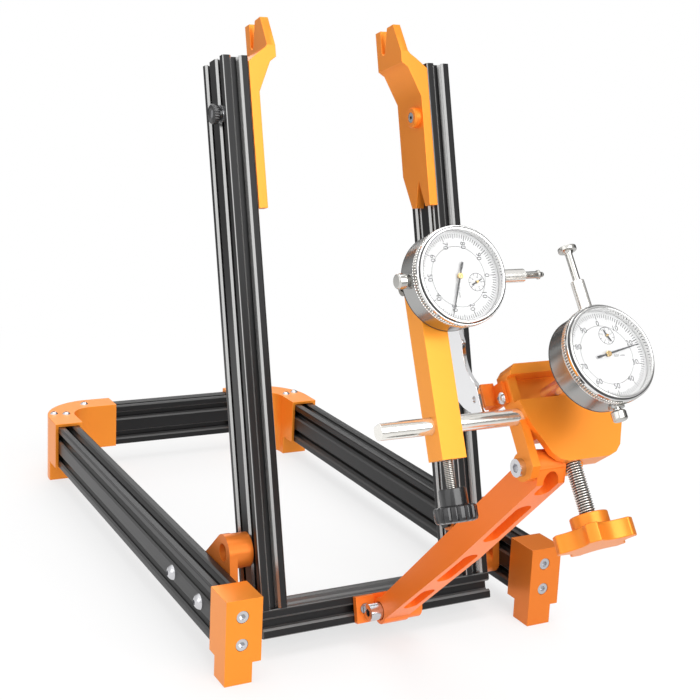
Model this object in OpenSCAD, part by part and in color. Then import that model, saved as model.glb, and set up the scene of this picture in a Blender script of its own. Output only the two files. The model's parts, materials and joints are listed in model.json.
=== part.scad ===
// Bicycle wheel truing stand.
// A rectangular base of slotted aluminium rails on four corner feet, a leaning
// U-shaped frame that holds the wheel's axle in two notched plates, and a slotted
// arm in front with a carriage for two dial gauges and a fixed feeler.
// X runs to the right, Y to the rear and Z up. The stand rests on Z = 0, and the
// origin lies under the middle of the whole stand, arm and gauges included.

/* [Slotted rail] */
// Narrow side of the rail section
rail_thin = 20; // [20:1:22]
// Wide side of the rail section
rail_wide = 40; // [40:1:42]
// Width of a slot at the surface of the rail
slot_mouth = 9.2; // [8.5:0.1:9.4]
// Width of a slot between its lips
slot_neck = 6.2; // [5.8:0.1:6.6]

/* [Base] */
// Width of the base over its side rails
base_w = 266; // [262:1:290]
// Front face of the feet to the back of the rear brackets
base_d = 499; // [490:1:560]
// Height of the underside of the base rails above the table
rail_clear = 18.4; // [14:0.2:24]
// Outer radius of a rear corner
corner_r = 51.5; // [40:0.5:60]

/* [Leaning frame] */
// Angle at which the frame leans back from upright
lean = 15; // [10:0.5:18]
// Length of an upright
upright_len = 394; // [360:1:440]
// Width of the frame over its uprights
frame_w = 189; // [180:1:200]
// Distance up the upright from the foot of the frame to the folding pivot
pivot_up = 61.5; // [58:0.5:64]
// Clear distance between the two axle plates, where the hub sits
hub_gap = 105; // [100:1:112]

/* [Arm] */
// Distance between the two bolts of the arm
arm_len = 233; // [200:1:240]
// Angle of the arm above a line square to the uprights
arm_rise = 29.2; // [20:0.2:36]
// Width of the arm
arm_w = 20; // [18:1:22]

/* [Carriage] */
// Angle at which the carriage leans back from upright
carriage_lean = 35; // [25:1:40]
// Width of the carriage block
block_w = 76; // [74:1:84]
// Height of the carriage block above its lower edge
block_h = 59; // [57:1:62]
// Thickness of the carriage block
block_t = 16; // [16:0.5:18]
// Diameter of the cross rod
rod_d = 10; // [9:0.5:10]
// Angle at which the gauge bar leans back from upright
bar_lean = 23; // [18:1:26]

/* [Dial gauges] */
// Diameter of a gauge's bezel
bezel_d = 59; // [58:0.5:60]
// Depth of a gauge from its front to its back
gauge_t = 22; // [21:0.5:22]
// Angle of the left gauge's long pointer from its stem, clockwise on the dial
left_reading = 110; // [0:1:359]
// Angle of the right gauge's long pointer from its stem, clockwise on the dial
right_reading = 79; // [0:1:359]

/* [Hidden] */
$fn = 64;

black_finish = "#2b2c2e";
orange_finish = "#ee7c1c";
steel_finish = "#c9ccd0";
brass_finish = "#c9a24a";
dial_finish = "#f2f2ee";

// Middle of the whole stand from the front face of the feet
mid_y = 147.7;
// Smallest gap left between parts that move past each other
gap = 0.1;
// Radial play of a turning or sliding fit
play = 0.05;

// Slotted rail
rail_corner = 1.5;
lip_taper = (slot_mouth - slot_neck) / 2;
lip_t = lip_taper + 0.3;
slot_depth = 6.1;
slot_cavity = 11;
slot_floor = 5.6;
cavity_side = 3.4;
core_d = 5;
core_step = rail_wide / 4;
hollow = [8, 6];

// Base
rail_in = base_w / 2 - rail_thin;
rail_top = rail_clear + rail_wide;
rail_mid = rail_clear + rail_wide / 2;
bracket_wall = 3;
bracket_out = base_w / 2 + bracket_wall;
bracket_in = rail_in - bracket_wall;
bracket_front = base_d - 74;
bracket_side = 62;
bracket_back_in = base_d - rail_thin - 2 * bracket_wall;
cove_r = 22.5;
bracket_leg_front = base_d - 54;
pocket_len = 27;
rail_back = bracket_front + pocket_len;
rear_rail_half = bracket_side + pocket_len - 1;
corner_screw_spots = [[128, 461], [117, 457], [91.5, 485]];

// Feet, drawn for a rail on X = 0
foot_left_wall = 12;
foot_right_wall = 14.4;
foot_d = 28.5;
foot_low = 14.7;
foot_top = rail_top + 2.4;
leg_w = 20;
leg_d = 19;
rail_front = 10;
foot_screw_head = [8.5, 5];

// Leaning frame. Its own axes run back across the uprights and up along them.
frame_y = 27;
frame_z = 14.8;
upright_x = frame_w / 2 - rail_thin / 2;
upright_in = frame_w / 2 - rail_thin;
pivot_back = rail_wide / 2;
pivot_y = frame_y + pivot_back * cos(lean) + pivot_up * sin(lean);
pivot_z = frame_z - pivot_back * sin(lean) + pivot_up * cos(lean);
plate_bottom = upright_len - 90.3;
plate_top = upright_len + 51;
plate_screw = [10, upright_len - 21];

// Pivot brackets
ear_r = 13;
boss_r = 12.5;
boss_end = frame_w / 2 + 0.25;
bracket_plate_t = 6;
pivot_d = 8;
pivot_head = [12.6, 6];
boss_spot = [54, 33];
boss_low_r = 9;
bracket_bolt_y = [55, 110];

// Arm
hinge_back = -11;
hinge_up = 8;
arm_left = -8;
arm_right = arm_left + arm_w;
arm_angle = arm_rise + lean;
hinge_y = frame_y + hinge_back * cos(lean) + hinge_up * sin(lean);
hinge_z = frame_z - hinge_back * sin(lean) + hinge_up * cos(lean);
eye_r = 9.5;
arm_pin_d = 8;
pin_head = [12.4, 11];
carriage_head = [11, 4];
shoulder_end_d = 5;
arm_slots = [[24, 62], [79, 128], [149, 203]];
arm_slot_w = 11;
fork_slot = [218, 239];

// Carriage. Its own axes run back through the block and up along it.
knuckle_y = hinge_y - arm_len * cos(arm_angle);
knuckle_z = hinge_z + arm_len * sin(arm_angle);
block_left = -13.5;
block_mid = block_left + block_w / 2;
cheek_t = 5.3;
rod_front = 8;
rod_up = 28.5;
recess = [36.5, 52.5];
recess_step = 5;
recess_depth = 12;
clamp_x = 17.4;
clamp_d = 10;
clamp_tip = rod_up - rod_d / 2 - 3.2;
knob_top = -43;
knob_bottom = -54;
knob_lobes = 5;
knob_r = 24;
knob_turn = 17.5;
scallop_r = 16;
scallop_out = 33;
post_x = 16;
post_up = 41.4;
post_d = 9;
right_face = 75.4;

// Cross rod and gauge bar. The bar's own axes run back through it and up along it.
rod_y = knuckle_y - rod_front * cos(carriage_lean) + rod_up * sin(carriage_lean);
rod_z = knuckle_z + rod_front * sin(carriage_lean) + rod_up * cos(carriage_lean);
rod_left = -105.4;
rod_right = 45;
bar_x = -63.5;
bar_side = 16;
bar_low = -20;
bar_high = 90;
bar_screw_d = 6;
left_face = 30.5;
left_up = 81;
lug_t = 5;
left_x = bar_x + bar_side / 2 + lug_t / 2;

// Dial gauges. A gauge's own axes: dial facing -Y from Y = 0, stem along +Z.
bezel_r = bezel_d / 2;
case_r = bezel_r - 0.8;
spigot_r = bezel_r - 3.85;
bezel_t = 8;
crystal_r = bezel_r - 2.9;
lip_r = bezel_r - 3.4;
dial_r = 17.7;
dial_y = 6;
stem_y = 12;
stem_r = 4;
stem_end = 48;
plunger_r = 2.2;
lug_hole_y = 30.5;
lug_r = 6.5;
counter_at = [3.7, 11.4];
collar_end = case_r + 1.5;
cap_ends = [31.5, 37.5];
cap_r = 4.5;
hand_tip = 23.5;

// ---- Shared shapes ----

module stand() {
    translate([0, -mid_y, 0]) children();
}

module leaning() {
    stand() translate([0, frame_y, frame_z]) rotate([-lean, 0, 0]) children();
}

// Along the arm: -Y points from the hinge to the knuckle
module along_arm() {
    stand() translate([0, hinge_y, hinge_z]) rotate([-arm_angle, 0, 0]) children();
}

module on_carriage() {
    stand() translate([0, knuckle_y, knuckle_z]) rotate([-carriage_lean, 0, 0]) children();
}

module on_bar() {
    stand() translate([0, rod_y, rod_z]) rotate([-bar_lean, 0, 0]) children();
}

module on_left_gauge() {
    on_bar() translate([left_x, -left_face, left_up]) rotate([0, 90, 0]) children();
}

module on_right_gauge() {
    on_carriage() translate([post_x, -right_face, post_up]) children();
}

// Lays a drawing of the YZ plane, pushed along X from x0 to x1
module side_shape(x0, x1) {
    translate([x0, 0, 0]) rotate([90, 0, 90]) linear_extrude(x1 - x0) children();
}

module bar_x_axis(d, x0, x1) {
    translate([x0, 0, 0]) rotate([0, 90, 0]) cylinder(d = d, h = x1 - x0);
}

module both_sides() {
    children();
    mirror([1, 0, 0]) children();
}

// One slot of the rail, cut down into a face that lies on Y = 0
module slot_shape() {
    m = slot_mouth / 2;
    n = slot_neck / 2;
    c = slot_cavity / 2;
    f = slot_floor / 2;
    polygon([[-m - 0.1, 0.1], [m + 0.1, 0.1], [n, -lip_taper], [n, -lip_t], [c, -lip_t],
             [c, -cavity_side], [f, -slot_depth], [-f, -slot_depth], [-c, -cavity_side],
             [-c, -lip_t], [-n, -lip_t], [-n, -lip_taper]]);
}

module rounded_rect(w, h, r) {
    square([w - 2 * r, h], center = true);
    square([w, h - 2 * r], center = true);
    for (x = [-1, 1], y = [-1, 1])
        translate([x * (w / 2 - r), y * (h / 2 - r)]) circle(r = r, $fn = 24);
}

module rail_section() {
    difference() {
        rounded_rect(rail_thin, rail_wide, rail_corner);
        for (y = [-core_step, core_step]) {
            translate([rail_thin / 2, y]) rotate(-90) slot_shape();
            translate([-rail_thin / 2, y]) rotate(90) slot_shape();
            translate([0, y]) circle(d = core_d, $fn = 24);
        }
        translate([0, rail_wide / 2]) slot_shape();
        translate([0, -rail_wide / 2]) rotate(180) slot_shape();
        square(hollow, center = true);
    }
}

module rail(length) {
    linear_extrude(length) rail_section();
}

// Socket screw along +Z with its head below Z = 0
module socket_screw(d, length, head, key) {
    difference() {
        union() {
            translate([0, 0, -0.5]) cylinder(d = d, h = length + 0.5);
            translate([0, 0, -head[1]]) cylinder(d = head[0], h = head[1]);
        }
        translate([0, 0, -head[1] - 1]) cylinder(d = key, h = head[1] * 0.6 + 1, $fn = 6);
    }
}

// Domed screw along +Z with its head below Z = 0
module dome_screw(d, length, head, key) {
    dome_r = (head[0] * head[0] / 4 + head[1] * head[1]) / (2 * head[1]);
    difference() {
        union() {
            translate([0, 0, -0.5]) cylinder(d = d, h = length + 0.5);
            intersection() {
                translate([0, 0, dome_r - head[1]]) sphere(r = dome_r, $fn = 96);
                translate([0, 0, -head[1] - 1]) cylinder(d = head[0], h = head[1] + 1);
            }
        }
        translate([0, 0, -head[1] - 1]) cylinder(d = key, h = head[1] * 0.6 + 1, $fn = 6);
    }
}

// Round knob from Z = 0 up with a fluted rim
module fluted(d, h, flutes, depth) {
    difference() {
        cylinder(d = d, h = h);
        for (i = [0 : flutes - 1])
            rotate(i * 360 / flutes)
                translate([d / 2 + 1.1 - depth, 0, -1]) cylinder(r = 1.1, h = h + 2, $fn = 16);
    }
}

// ---- Base ----

module side_rail() {
    difference() {
        translate([rail_in + rail_thin / 2, rail_back, rail_mid])
            rotate([90, 0, 0]) rail(rail_back - rail_front);
        for (y = bracket_bolt_y)
            translate([0, y, rail_mid]) bar_x_axis(6.2, rail_in - 1, base_w / 2 + 1);
    }
}

module side_rail_left() {
    color(black_finish) stand() mirror([1, 0, 0]) side_rail();
}

module side_rail_right() {
    color(black_finish) stand() side_rail();
}

module rear_rail() {
    color(black_finish) stand()
        translate([-rear_rail_half, base_d - bracket_wall - rail_thin / 2, rail_mid])
            rotate([90, 0, 90]) rail(2 * rear_rail_half);
}

// Plan of the right corner bracket: a rounded corner with a cove inside it
module bracket_plan() {
    difference() {
        union() {
            translate([bracket_side, bracket_front])
                square([bracket_out - bracket_side, base_d - corner_r - bracket_front]);
            translate([bracket_side, bracket_front])
                square([bracket_out - corner_r - bracket_side, base_d - bracket_front]);
            intersection() {
                translate([bracket_out - corner_r, base_d - corner_r]) circle(r = corner_r);
                translate([bracket_out - corner_r - 0.1, base_d - corner_r - 0.1])
                    square([corner_r + 1, corner_r + 1]);
            }
        }
        translate([bracket_side - 60, bracket_front - 60])
            square([bracket_in - bracket_side + 60, bracket_back_in - cove_r - bracket_front + 60]);
        translate([bracket_side - 60, bracket_front - 60])
            square([bracket_in - cove_r - bracket_side + 60, bracket_back_in - bracket_front + 60]);
        translate([bracket_in - cove_r, bracket_back_in - cove_r]) circle(r = cove_r);
    }
}

module corner_bracket() {
    difference() {
        union() {
            translate([0, 0, rail_clear])
                linear_extrude(rail_wide + bracket_wall) bracket_plan();
            linear_extrude(rail_clear + 1) intersection() {
                bracket_plan();
                translate([bracket_in - 16, bracket_leg_front]) square([60, 60]);
            }
        }
        translate([rail_in, bracket_front - 1, rail_clear - 1])
            cube([rail_thin, pocket_len + 1, rail_wide + 1]);
        translate([bracket_side - 1, base_d - bracket_wall - rail_thin, rail_clear - 1])
            cube([pocket_len, rail_thin, rail_wide + 1]);
        for (p = corner_screw_spots)
            translate([p[0], p[1], rail_top + bracket_wall - 12]) cylinder(d = 4.1, h = 20);
    }
}

module corner_bracket_left() {
    color(orange_finish) stand() mirror([1, 0, 0]) corner_bracket();
}

module corner_bracket_right() {
    color(orange_finish) stand() corner_bracket();
}

module corner_screws() {
    color(steel_finish) stand() both_sides()
        for (p = corner_screw_spots)
            translate([p[0], p[1], rail_top + bracket_wall])
                mirror([0, 0, 1]) dome_screw(4, 11, [7.6, 2.2], 2.5);
}

// Foot for a rail on X = 0. The same foot is used on both sides.
module foot() {
    difference() {
        union() {
            translate([-foot_left_wall, 0, foot_low])
                cube([foot_left_wall + foot_right_wall, foot_d, foot_top - foot_low]);
            translate([-foot_left_wall, 0, 0]) cube([leg_w, leg_d, foot_low + 1]);
        }
        translate([-rail_thin / 2, rail_front, rail_clear])
            cube([rail_thin, foot_d, rail_wide]);
        for (z = [-core_step, core_step])
            translate([0, -1, rail_mid + z]) rotate([-90, 0, 0]) {
                cylinder(d = 5.2, h = foot_d);
                cylinder(d = foot_screw_head[0] + 0.5, h = foot_screw_head[1] + 1.5);
            }
    }
}

module foot_left() {
    color(orange_finish) stand() translate([-rail_in - rail_thin / 2, 0, 0]) foot();
}

module foot_right() {
    color(orange_finish) stand() translate([rail_in + rail_thin / 2, 0, 0]) foot();
}

module foot_screws() {
    color(steel_finish) stand() both_sides()
        for (z = [-core_step, core_step])
            translate([rail_in + rail_thin / 2, foot_screw_head[1] + 0.5, rail_mid + z])
                rotate([-90, 0, 0]) socket_screw(4.9, 26, foot_screw_head, 4.6);
}

// Plate on the inner face of the right side rail, with the pivot's ear above it
module pivot_bracket() {
    plate_in = rail_in - bracket_plate_t;
    difference() {
        union() {
            side_shape(plate_in, rail_in) {
                polygon([[boss_spot[0], boss_spot[1] - boss_low_r], [122, rail_clear + 3],
                         [122, 46], [94, rail_top], [pivot_y + 9.2, pivot_z + 9.2],
                         [pivot_y - 9.2, pivot_z + 9.2], [pivot_y - ear_r + 0.1, pivot_z],
                         [boss_spot[0] - boss_low_r + 0.1, boss_spot[1] + 1]]);
                translate([pivot_y, pivot_z]) circle(r = ear_r);
                translate(boss_spot) circle(r = boss_low_r);
            }
            translate([0, pivot_y, pivot_z]) bar_x_axis(2 * boss_r, boss_end, plate_in + 1);
            translate([0, boss_spot[0], boss_spot[1]])
                bar_x_axis(2 * boss_low_r, boss_end, plate_in + 1);
        }
        translate([0, pivot_y, pivot_z]) {
            bar_x_axis(pivot_d + 2 * play, boss_end - 1, rail_in + 1);
            bar_x_axis(pivot_head[0] + 0.4, rail_in - 10, rail_in + 1);
        }
        for (y = bracket_bolt_y)
            translate([0, y, rail_mid]) bar_x_axis(6.1, plate_in - 1, rail_in + 1);
    }
}

module pivot_bracket_left() {
    color(orange_finish) stand() mirror([1, 0, 0]) pivot_bracket();
}

module pivot_bracket_right() {
    color(orange_finish) stand() pivot_bracket();
}

module bracket_bolts() {
    color(steel_finish) stand() both_sides()
        for (y = bracket_bolt_y)
            translate([base_w / 2, y, rail_mid])
                rotate([0, -90, 0]) dome_screw(6, 25.5, [12, 4], 4);
}

module pivot_bolts() {
    color(steel_finish) stand() both_sides()
        translate([rail_in - 10, pivot_y, pivot_z])
            rotate([0, -90, 0]) socket_screw(pivot_d, 33.5, pivot_head, 6);
}

module pivot_washers() {
    color(orange_finish) stand() both_sides()
        difference() {
            translate([0, pivot_y, pivot_z]) bar_x_axis(18, upright_in - 1.7, upright_in - gap);
            translate([0, pivot_y, pivot_z]) bar_x_axis(pivot_d + 0.1, 60, 100);
        }
}

module pivot_nuts() {
    color(steel_finish) stand() both_sides()
        difference() {
            translate([upright_in - 4.7, pivot_y, pivot_z]) rotate([0, 90, 0])
                cylinder(d = 15, h = 3, $fn = 6);
            translate([0, pivot_y, pivot_z]) bar_x_axis(pivot_d + 0.1, 60, 100);
        }
}

// ---- Leaning frame ----

module cross_rail() {
    color(black_finish) leaning() difference() {
        translate([-frame_w / 2, rail_wide / 2, rail_thin / 2])
            rotate([0, 90, 0]) rail(frame_w);
        for (x = [-upright_x, upright_x], v = [core_step, 3 * core_step])
            translate([x, v, -1]) {
                cylinder(d = 5.3, h = rail_thin + 2);
                cylinder(d = 9, h = 7.5);
            }
        for (x = [-16, 17])
            translate([x, -1, rail_thin / 2]) rotate([-90, 0, 0]) cylinder(d = 4.1, h = 14);
    }
}

module upright() {
    difference() {
        translate([upright_x, rail_wide / 2, rail_thin]) rail(upright_len);
        translate([0, pivot_back, pivot_up])
            bar_x_axis(pivot_d + 2 * play, upright_in - 1, frame_w / 2 + 1);
        translate([0, plate_screw[0], plate_screw[1]])
            bar_x_axis(6.4, upright_in - 1, frame_w / 2 + 1);
    }
}

module upright_left() {
    color(black_finish) leaning() mirror([1, 0, 0]) upright();
}

module upright_right() {
    color(black_finish) leaning() upright();
}

module upright_screws() {
    color(steel_finish) leaning() both_sides()
        for (v = [core_step, 3 * core_step])
            translate([upright_x, v, 6.4]) socket_screw(4.9, 34, [8.5, 5], 4.6);
}

// Side view of the axle plate: an inverted V notch at the foot, the axle's V on top
module plate_outline() {
    b = plate_bottom;
    t = plate_top;
    polygon([[0, b], [7, b], [14, b + 20.3], [21, b], [27.3, b + 0.6], [38, b + 27],
             [38, t], [29.6, t], [30, t - 18], [28.6, t - 19.6], [27, t - 19.8],
             [25.5, t - 18.6], [19.3, t], [9.6, t + 0.5], [0, t - 22.5]]);
}

// Front view of the right axle plate: flat on the upright, then stepped in to the hub
module plate_profile() {
    blade = hub_gap / 2;
    u = upright_len;
    polygon([[upright_in - 7, plate_bottom - 1], [upright_in, plate_bottom - 1],
             [upright_in, u + 16], [66, u + 23], [blade + 8, u + 27], [blade + 6.5, u + 29],
             [blade + 6.5, u + 60], [blade, u + 60], [blade, u + 20], [blade + 5, u + 16.5],
             [upright_in - 7, u - 6]]);
}

module axle_plate() {
    difference() {
        intersection() {
            side_shape(0, 100) plate_outline();
            translate([0, 60, 0]) rotate([90, 0, 0]) linear_extrude(80) plate_profile();
        }
        translate([0, plate_screw[0], plate_screw[1]]) bar_x_axis(6.2, 50, 80);
    }
}

// The left plate has a pocket for the flush head of its long screw
module axle_plate_left() {
    color(orange_finish) leaning() mirror([1, 0, 0]) difference() {
        axle_plate();
        translate([0, plate_screw[0], plate_screw[1]]) bar_x_axis(10.8, 60, upright_in - 3.2);
    }
}

module axle_plate_right() {
    color(orange_finish) leaning() axle_plate();
}

module cup_washer() {
    color(orange_finish) leaning()
        translate([upright_in - 7, plate_screw[0], plate_screw[1]]) rotate([0, -90, 0])
            difference() {
                union() {
                    cylinder(r = 8, h = 4);
                    translate([0, 0, 3.99]) cylinder(r1 = 8, r2 = 6.8, h = 1.2);
                }
                translate([0, 0, -1]) cylinder(d = 6.2, h = 10);
                translate([0, 0, 2]) cylinder(d = 8.2, h = 6);
            }
}

// Short screw into the slot nut on the right, long one to the thumb nut on the left
module axle_plate_screws() {
    color(steel_finish) leaning() {
        translate([upright_in - 9, plate_screw[0], plate_screw[1]])
            rotate([0, 90, 0]) socket_screw(6, 13.5, [7.8, 3], 3);
        mirror([1, 0, 0]) translate([upright_in - 3.3, plate_screw[0], plate_screw[1]])
            rotate([0, 90, 0]) socket_screw(6, 30.4, [10, 3.4], 4.6);
    }
}

module slot_nut() {
    color(steel_finish) leaning() difference() {
        translate([upright_in + lip_t + 0.05, plate_screw[0] - 4.8, plate_screw[1] - 8])
            cube([1.4, 9.6, 16]);
        translate([0, plate_screw[0], plate_screw[1]]) bar_x_axis(6.1, 60, 100);
    }
}

module thumb_nut_washer() {
    color(steel_finish) leaning() mirror([1, 0, 0])
        translate([frame_w / 2 + gap, plate_screw[0], plate_screw[1]]) rotate([0, 90, 0])
            difference() {
                cylinder(d = 13, h = 1);
                translate([0, 0, -1]) cylinder(d = 6.2, h = 4);
            }
}

module thumb_nut() {
    color("#141414") leaning() mirror([1, 0, 0])
        translate([frame_w / 2 + gap + 1, plate_screw[0], plate_screw[1]]) rotate([0, 90, 0])
            difference() {
                union() {
                    cylinder(d = 11, h = 2.5);
                    translate([0, 0, 2]) fluted(15, 4.8, 18, 0.7);
                }
                translate([0, 0, -1]) cylinder(d = 6 + 2 * play, h = 20);
            }
}

// Plate on the front of the cross rail with one lug beside the arm
module arm_hinge_plate() {
    color(orange_finish) leaning() difference() {
        union() {
            translate([-23, -4.5, 0]) cube([46, 4.5, 19]);
            side_shape(arm_right + 0.2, 23) {
                translate([hinge_back, hinge_up]) circle(r = 8.5);
                translate([hinge_back, 0]) square([-hinge_back, 16.5]);
            }
        }
        translate([arm_left - 0.3, -6, -1]) cube([arm_w + 0.5, 5.2, 21]);
        translate([0, hinge_back, hinge_up]) bar_x_axis(arm_pin_d + 0.1, 10, 30);
        for (x = [-16, 17])
            translate([x, -30, rail_thin / 2]) rotate([-90, 0, 0]) {
                cylinder(d = 4.2, h = 40);
                cylinder(d = 7.6, h = 27.6);
            }
    }
}

module hinge_plate_screws() {
    color(steel_finish) leaning()
        for (x = [-16, 17])
            translate([x, -2.4, rail_thin / 2])
                rotate([-90, 0, 0]) socket_screw(4, 14, [7, 2], 3);
}

module arm_hinge_bolt() {
    color(steel_finish) leaning() translate([arm_left + 1.6, hinge_back, hinge_up])
        rotate([0, 90, 0]) socket_screw(arm_pin_d, 29, pin_head, 6);
}

// ---- Arm ----

// A slot with round ends, cut through the arm from its lower face to its upper face
module arm_slot(s0, s1) {
    r = arm_slot_w / 2;
    translate([arm_left + arm_w / 2, 0, -20]) {
        translate([-r, -s1 + r, 0]) cube([2 * r, s1 - s0 - 2 * r, 40]);
        translate([0, -s0 - r, 0]) cylinder(r = r, h = 40);
        translate([0, -s1 + r, 0]) cylinder(r = r, h = 40);
    }
}

module slotted_arm() {
    color(orange_finish) along_arm() difference() {
        union() {
            side_shape(arm_left, arm_right) {
                polygon([[-4, 7.2], [-4, -8], [-20, -8.6], [-120, -12.6],
                         [-arm_len, -13], [-arm_len - 7, -6.5], [-arm_len, 6.6]]);
                circle(r = eye_r);
                translate([-arm_len, 0]) circle(r = eye_r);
            }
        }
        bar_x_axis(arm_pin_d + 2 * play, arm_left - 1, arm_right + 1);
        bar_x_axis(pin_head[0] + 1.2, arm_left - 1, arm_left + 1.7);
        translate([0, -arm_len, 0])
            bar_x_axis(arm_pin_d + 2 * play, arm_left - 1, arm_right + 1);
        for (s = arm_slots) arm_slot(s[0], s[1]);
        arm_slot(fork_slot[0], fork_slot[1]);
    }
}

// ---- Carriage ----

// Front view of the block: square shoulders that taper to a rounded foot
module block_outline() {
    m = block_mid;
    polygon([[block_left, block_h - 4], [block_left + 4, block_h],
             [block_left + block_w - 4, block_h], [block_left + block_w, block_h - 4],
             [m + 38, 38], [m + 33.5, 21], [m + 27, 7], [m + 25, 2.6], [m + 20.5, -1.6],
             [m + 15, -3.5], [m - 15, -3.5], [m - 20.5, -1.6], [m - 25, 2.6], [m - 27, 7],
             [m - 33.5, 21], [m - 38, 38]]);
}

module carriage_block() {
    color(orange_finish) on_carriage() difference() {
        union() {
            rotate([90, 0, 0]) linear_extrude(block_t) block_outline();
            side_shape(block_left, arm_left - 0.2) {
                circle(r = 8.6);
                polygon([[0, -8.6], [-6, -8.6], [-12, -3.5], [-12, 30], [0, 30]]);
            }
            side_shape(arm_right + 0.2, 25) {
                circle(r = 8.6);
                translate([-8, -3.4]) square([8, 12]);
            }
        }
        // Room for the arm's eye
        translate([arm_left - 0.2, -11.4, -20]) cube([arm_w + 0.4, 30, 33]);
        bar_x_axis(arm_pin_d + 0.1, block_left - 1, arm_right + 0.2);
        bar_x_axis(shoulder_end_d + 0.1, arm_right, 30);
        translate([0, -rod_front, rod_up])
            bar_x_axis(rod_d + 2 * play, block_left - 1, block_left + block_w + 1);
        // Recess across the front, open to both sides and deeper past a step on the left
        translate([block_left - 1, -block_t - 1, recess[0]])
            cube([block_w + 2, recess_step + 1, recess[1] - recess[0]]);
        translate([block_left + 6, -block_t - 1, recess[0]])
            cube([block_w, recess_depth + 1, recess[1] - recess[0]]);
        translate([clamp_x, -rod_front, -12])
            cylinder(d = clamp_d + 2 * play, h = rod_up + 12);
        translate([post_x, -block_t - 1, post_up])
            rotate([-90, 0, 0]) cylinder(d = post_d + 0.1, h = recess_depth + 1);
        translate([0, -3.5, 42]) bar_x_axis(4.1, block_left - 1, block_left + 9);
    }
}

// Shoulder bolt: its thin end stays clear of the clamping screw
module carriage_bolt() {
    shoulder = arm_right + 0.1 - block_left;
    color(steel_finish) on_carriage() translate([block_left, 0, 0]) rotate([0, 90, 0]) {
        socket_screw(arm_pin_d, shoulder, carriage_head, 6);
        translate([0, 0, shoulder - 1]) cylinder(d = shoulder_end_d, h = 13);
    }
}

// Post that carries the right gauge's lug in a fork
module gauge_post() {
    end_y = -right_face + gauge_t + 2;
    color(steel_finish) on_carriage() difference() {
        translate([post_x, end_y, post_up]) rotate([-90, 0, 0])
            cylinder(d = post_d, h = -block_t + recess_depth - end_y - 0.1);
        translate([post_x - lug_t / 2 - 0.1, end_y - 1, post_up - 10])
            cube([lug_t + 0.2, 17, 20]);
        translate([0, -right_face + lug_hole_y, post_up])
            bar_x_axis(4.1, post_x - 10, post_x + 10);
    }
}

module gauge_post_screw() {
    color(steel_finish) on_carriage()
        translate([post_x - post_d / 2 - 0.1, -right_face + lug_hole_y, post_up])
            rotate([0, 90, 0]) dome_screw(4, 10, [7.6, 2.4], 2.5);
}

module feeler_holder() {
    color(orange_finish) on_carriage() difference() {
        union() {
            translate([-23.5, 3, 40]) cube([9, 8, 14]);
            side_shape(-23.5, -14.5) translate([10, 47]) circle(r = 7);
            translate([-16, -7, 38]) cube([2.4, 20, 13.5]);
        }
        translate([0, -3.5, 42]) bar_x_axis(4.2, -30, 0);
        translate([0, 9.5, 47]) bar_x_axis(4.1, -30, 0);
    }
}

module feeler_screw() {
    color(steel_finish) on_carriage() {
        translate([-16.1, -3.5, 42]) rotate([0, 90, 0]) dome_screw(4, 10, [7.6, 2.4], 2.5);
        translate([-13.5, 9.5, 47]) rotate([0, -90, 0]) dome_screw(4, 12, [7.6, 2.4], 2.5);
    }
}

// Curved finger that points up to the rim of the wheel
module feeler_plate() {
    cove_mid = [-14.8, 70];
    color(steel_finish) on_carriage() difference() {
        side_shape(-26.5, -23.6)
            difference() {
                polygon([[5, 35], [7, 35], [15.3, 39.8], [23.1, 46.5], [27.6, 52.7], [28.8, 62],
                         [28, 78], [24, 94], [19, 103], [14.5, 105], [11, 101], [6, 92],
                         [4, 52]]);
                translate(cove_mid) circle(r = 24);
            }
        translate([0, 9.5, 47]) bar_x_axis(4.1, -30, 0);
    }
}

module clamp_pad() {
    color(brass_finish) on_carriage()
        translate([clamp_x, -rod_front, clamp_tip + 0.05]) cylinder(d = 9, h = 3.05);
}

module clamp_screw() {
    color(steel_finish) on_carriage()
        translate([clamp_x, -rod_front, knob_top + 2])
            cylinder(d = clamp_d, h = clamp_tip - knob_top - 2);
}

// Plan of the star knob: a round plate with a wide scallop between each pair of lobes
module star_plan() {
    difference() {
        circle(r = knob_r);
        for (i = [0 : knob_lobes - 1])
            rotate(knob_turn + (i + 0.5) * 360 / knob_lobes)
                translate([scallop_out, 0]) circle(r = scallop_r);
    }
}

module star_knob() {
    color(orange_finish) on_carriage()
        translate([clamp_x, -rod_front, 0]) difference() {
            union() {
                translate([0, 0, knob_bottom + 1]) cylinder(d = 23, h = knob_top - knob_bottom + 7);
                translate([0, 0, knob_bottom]) linear_extrude(knob_top - knob_bottom) star_plan();
            }
            translate([0, 0, knob_top + 2]) cylinder(d = clamp_d + 0.1, h = 20);
        }
}

// ---- Cross rod and gauge bar ----

module cross_rod() {
    color(steel_finish) on_carriage() translate([0, -rod_front, rod_up]) difference() {
        bar_x_axis(rod_d, rod_left, rod_right);
        translate([rod_left - 1, -rod_d, rod_d / 2 - 1]) cube([14.4, 2 * rod_d, rod_d]);
    }
}

module gauge_bar() {
    s = bar_side;
    color(orange_finish) on_bar() difference() {
        translate([bar_x - s / 2, -s / 2, bar_low]) cube([s, s, bar_high - bar_low]);
        bar_x_axis(rod_d + 2 * play, bar_x - s, bar_x + s);
        translate([bar_x, 0, bar_low - 1]) cylinder(d = bar_screw_d + 2 * play, h = -bar_low);
        translate([0, 0, left_up]) bar_x_axis(6.1, bar_x - s, bar_x + s);
    }
}

module lug_bolt() {
    color(steel_finish) on_bar() translate([bar_x - bar_side / 2, 0, left_up])
        rotate([0, 90, 0]) socket_screw(6, bar_side + lug_t + 3, [10, 5], 5.6);
}

module bar_pad() {
    color(brass_finish) on_bar()
        translate([bar_x, 0, -rod_d / 2 - 3.1]) cylinder(d = 5.4, h = 3);
}

module bar_screw() {
    color(steel_finish) on_bar()
        translate([bar_x, 0, bar_low - 24]) cylinder(d = bar_screw_d, h = 24 - bar_low - 8.2);
}

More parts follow.
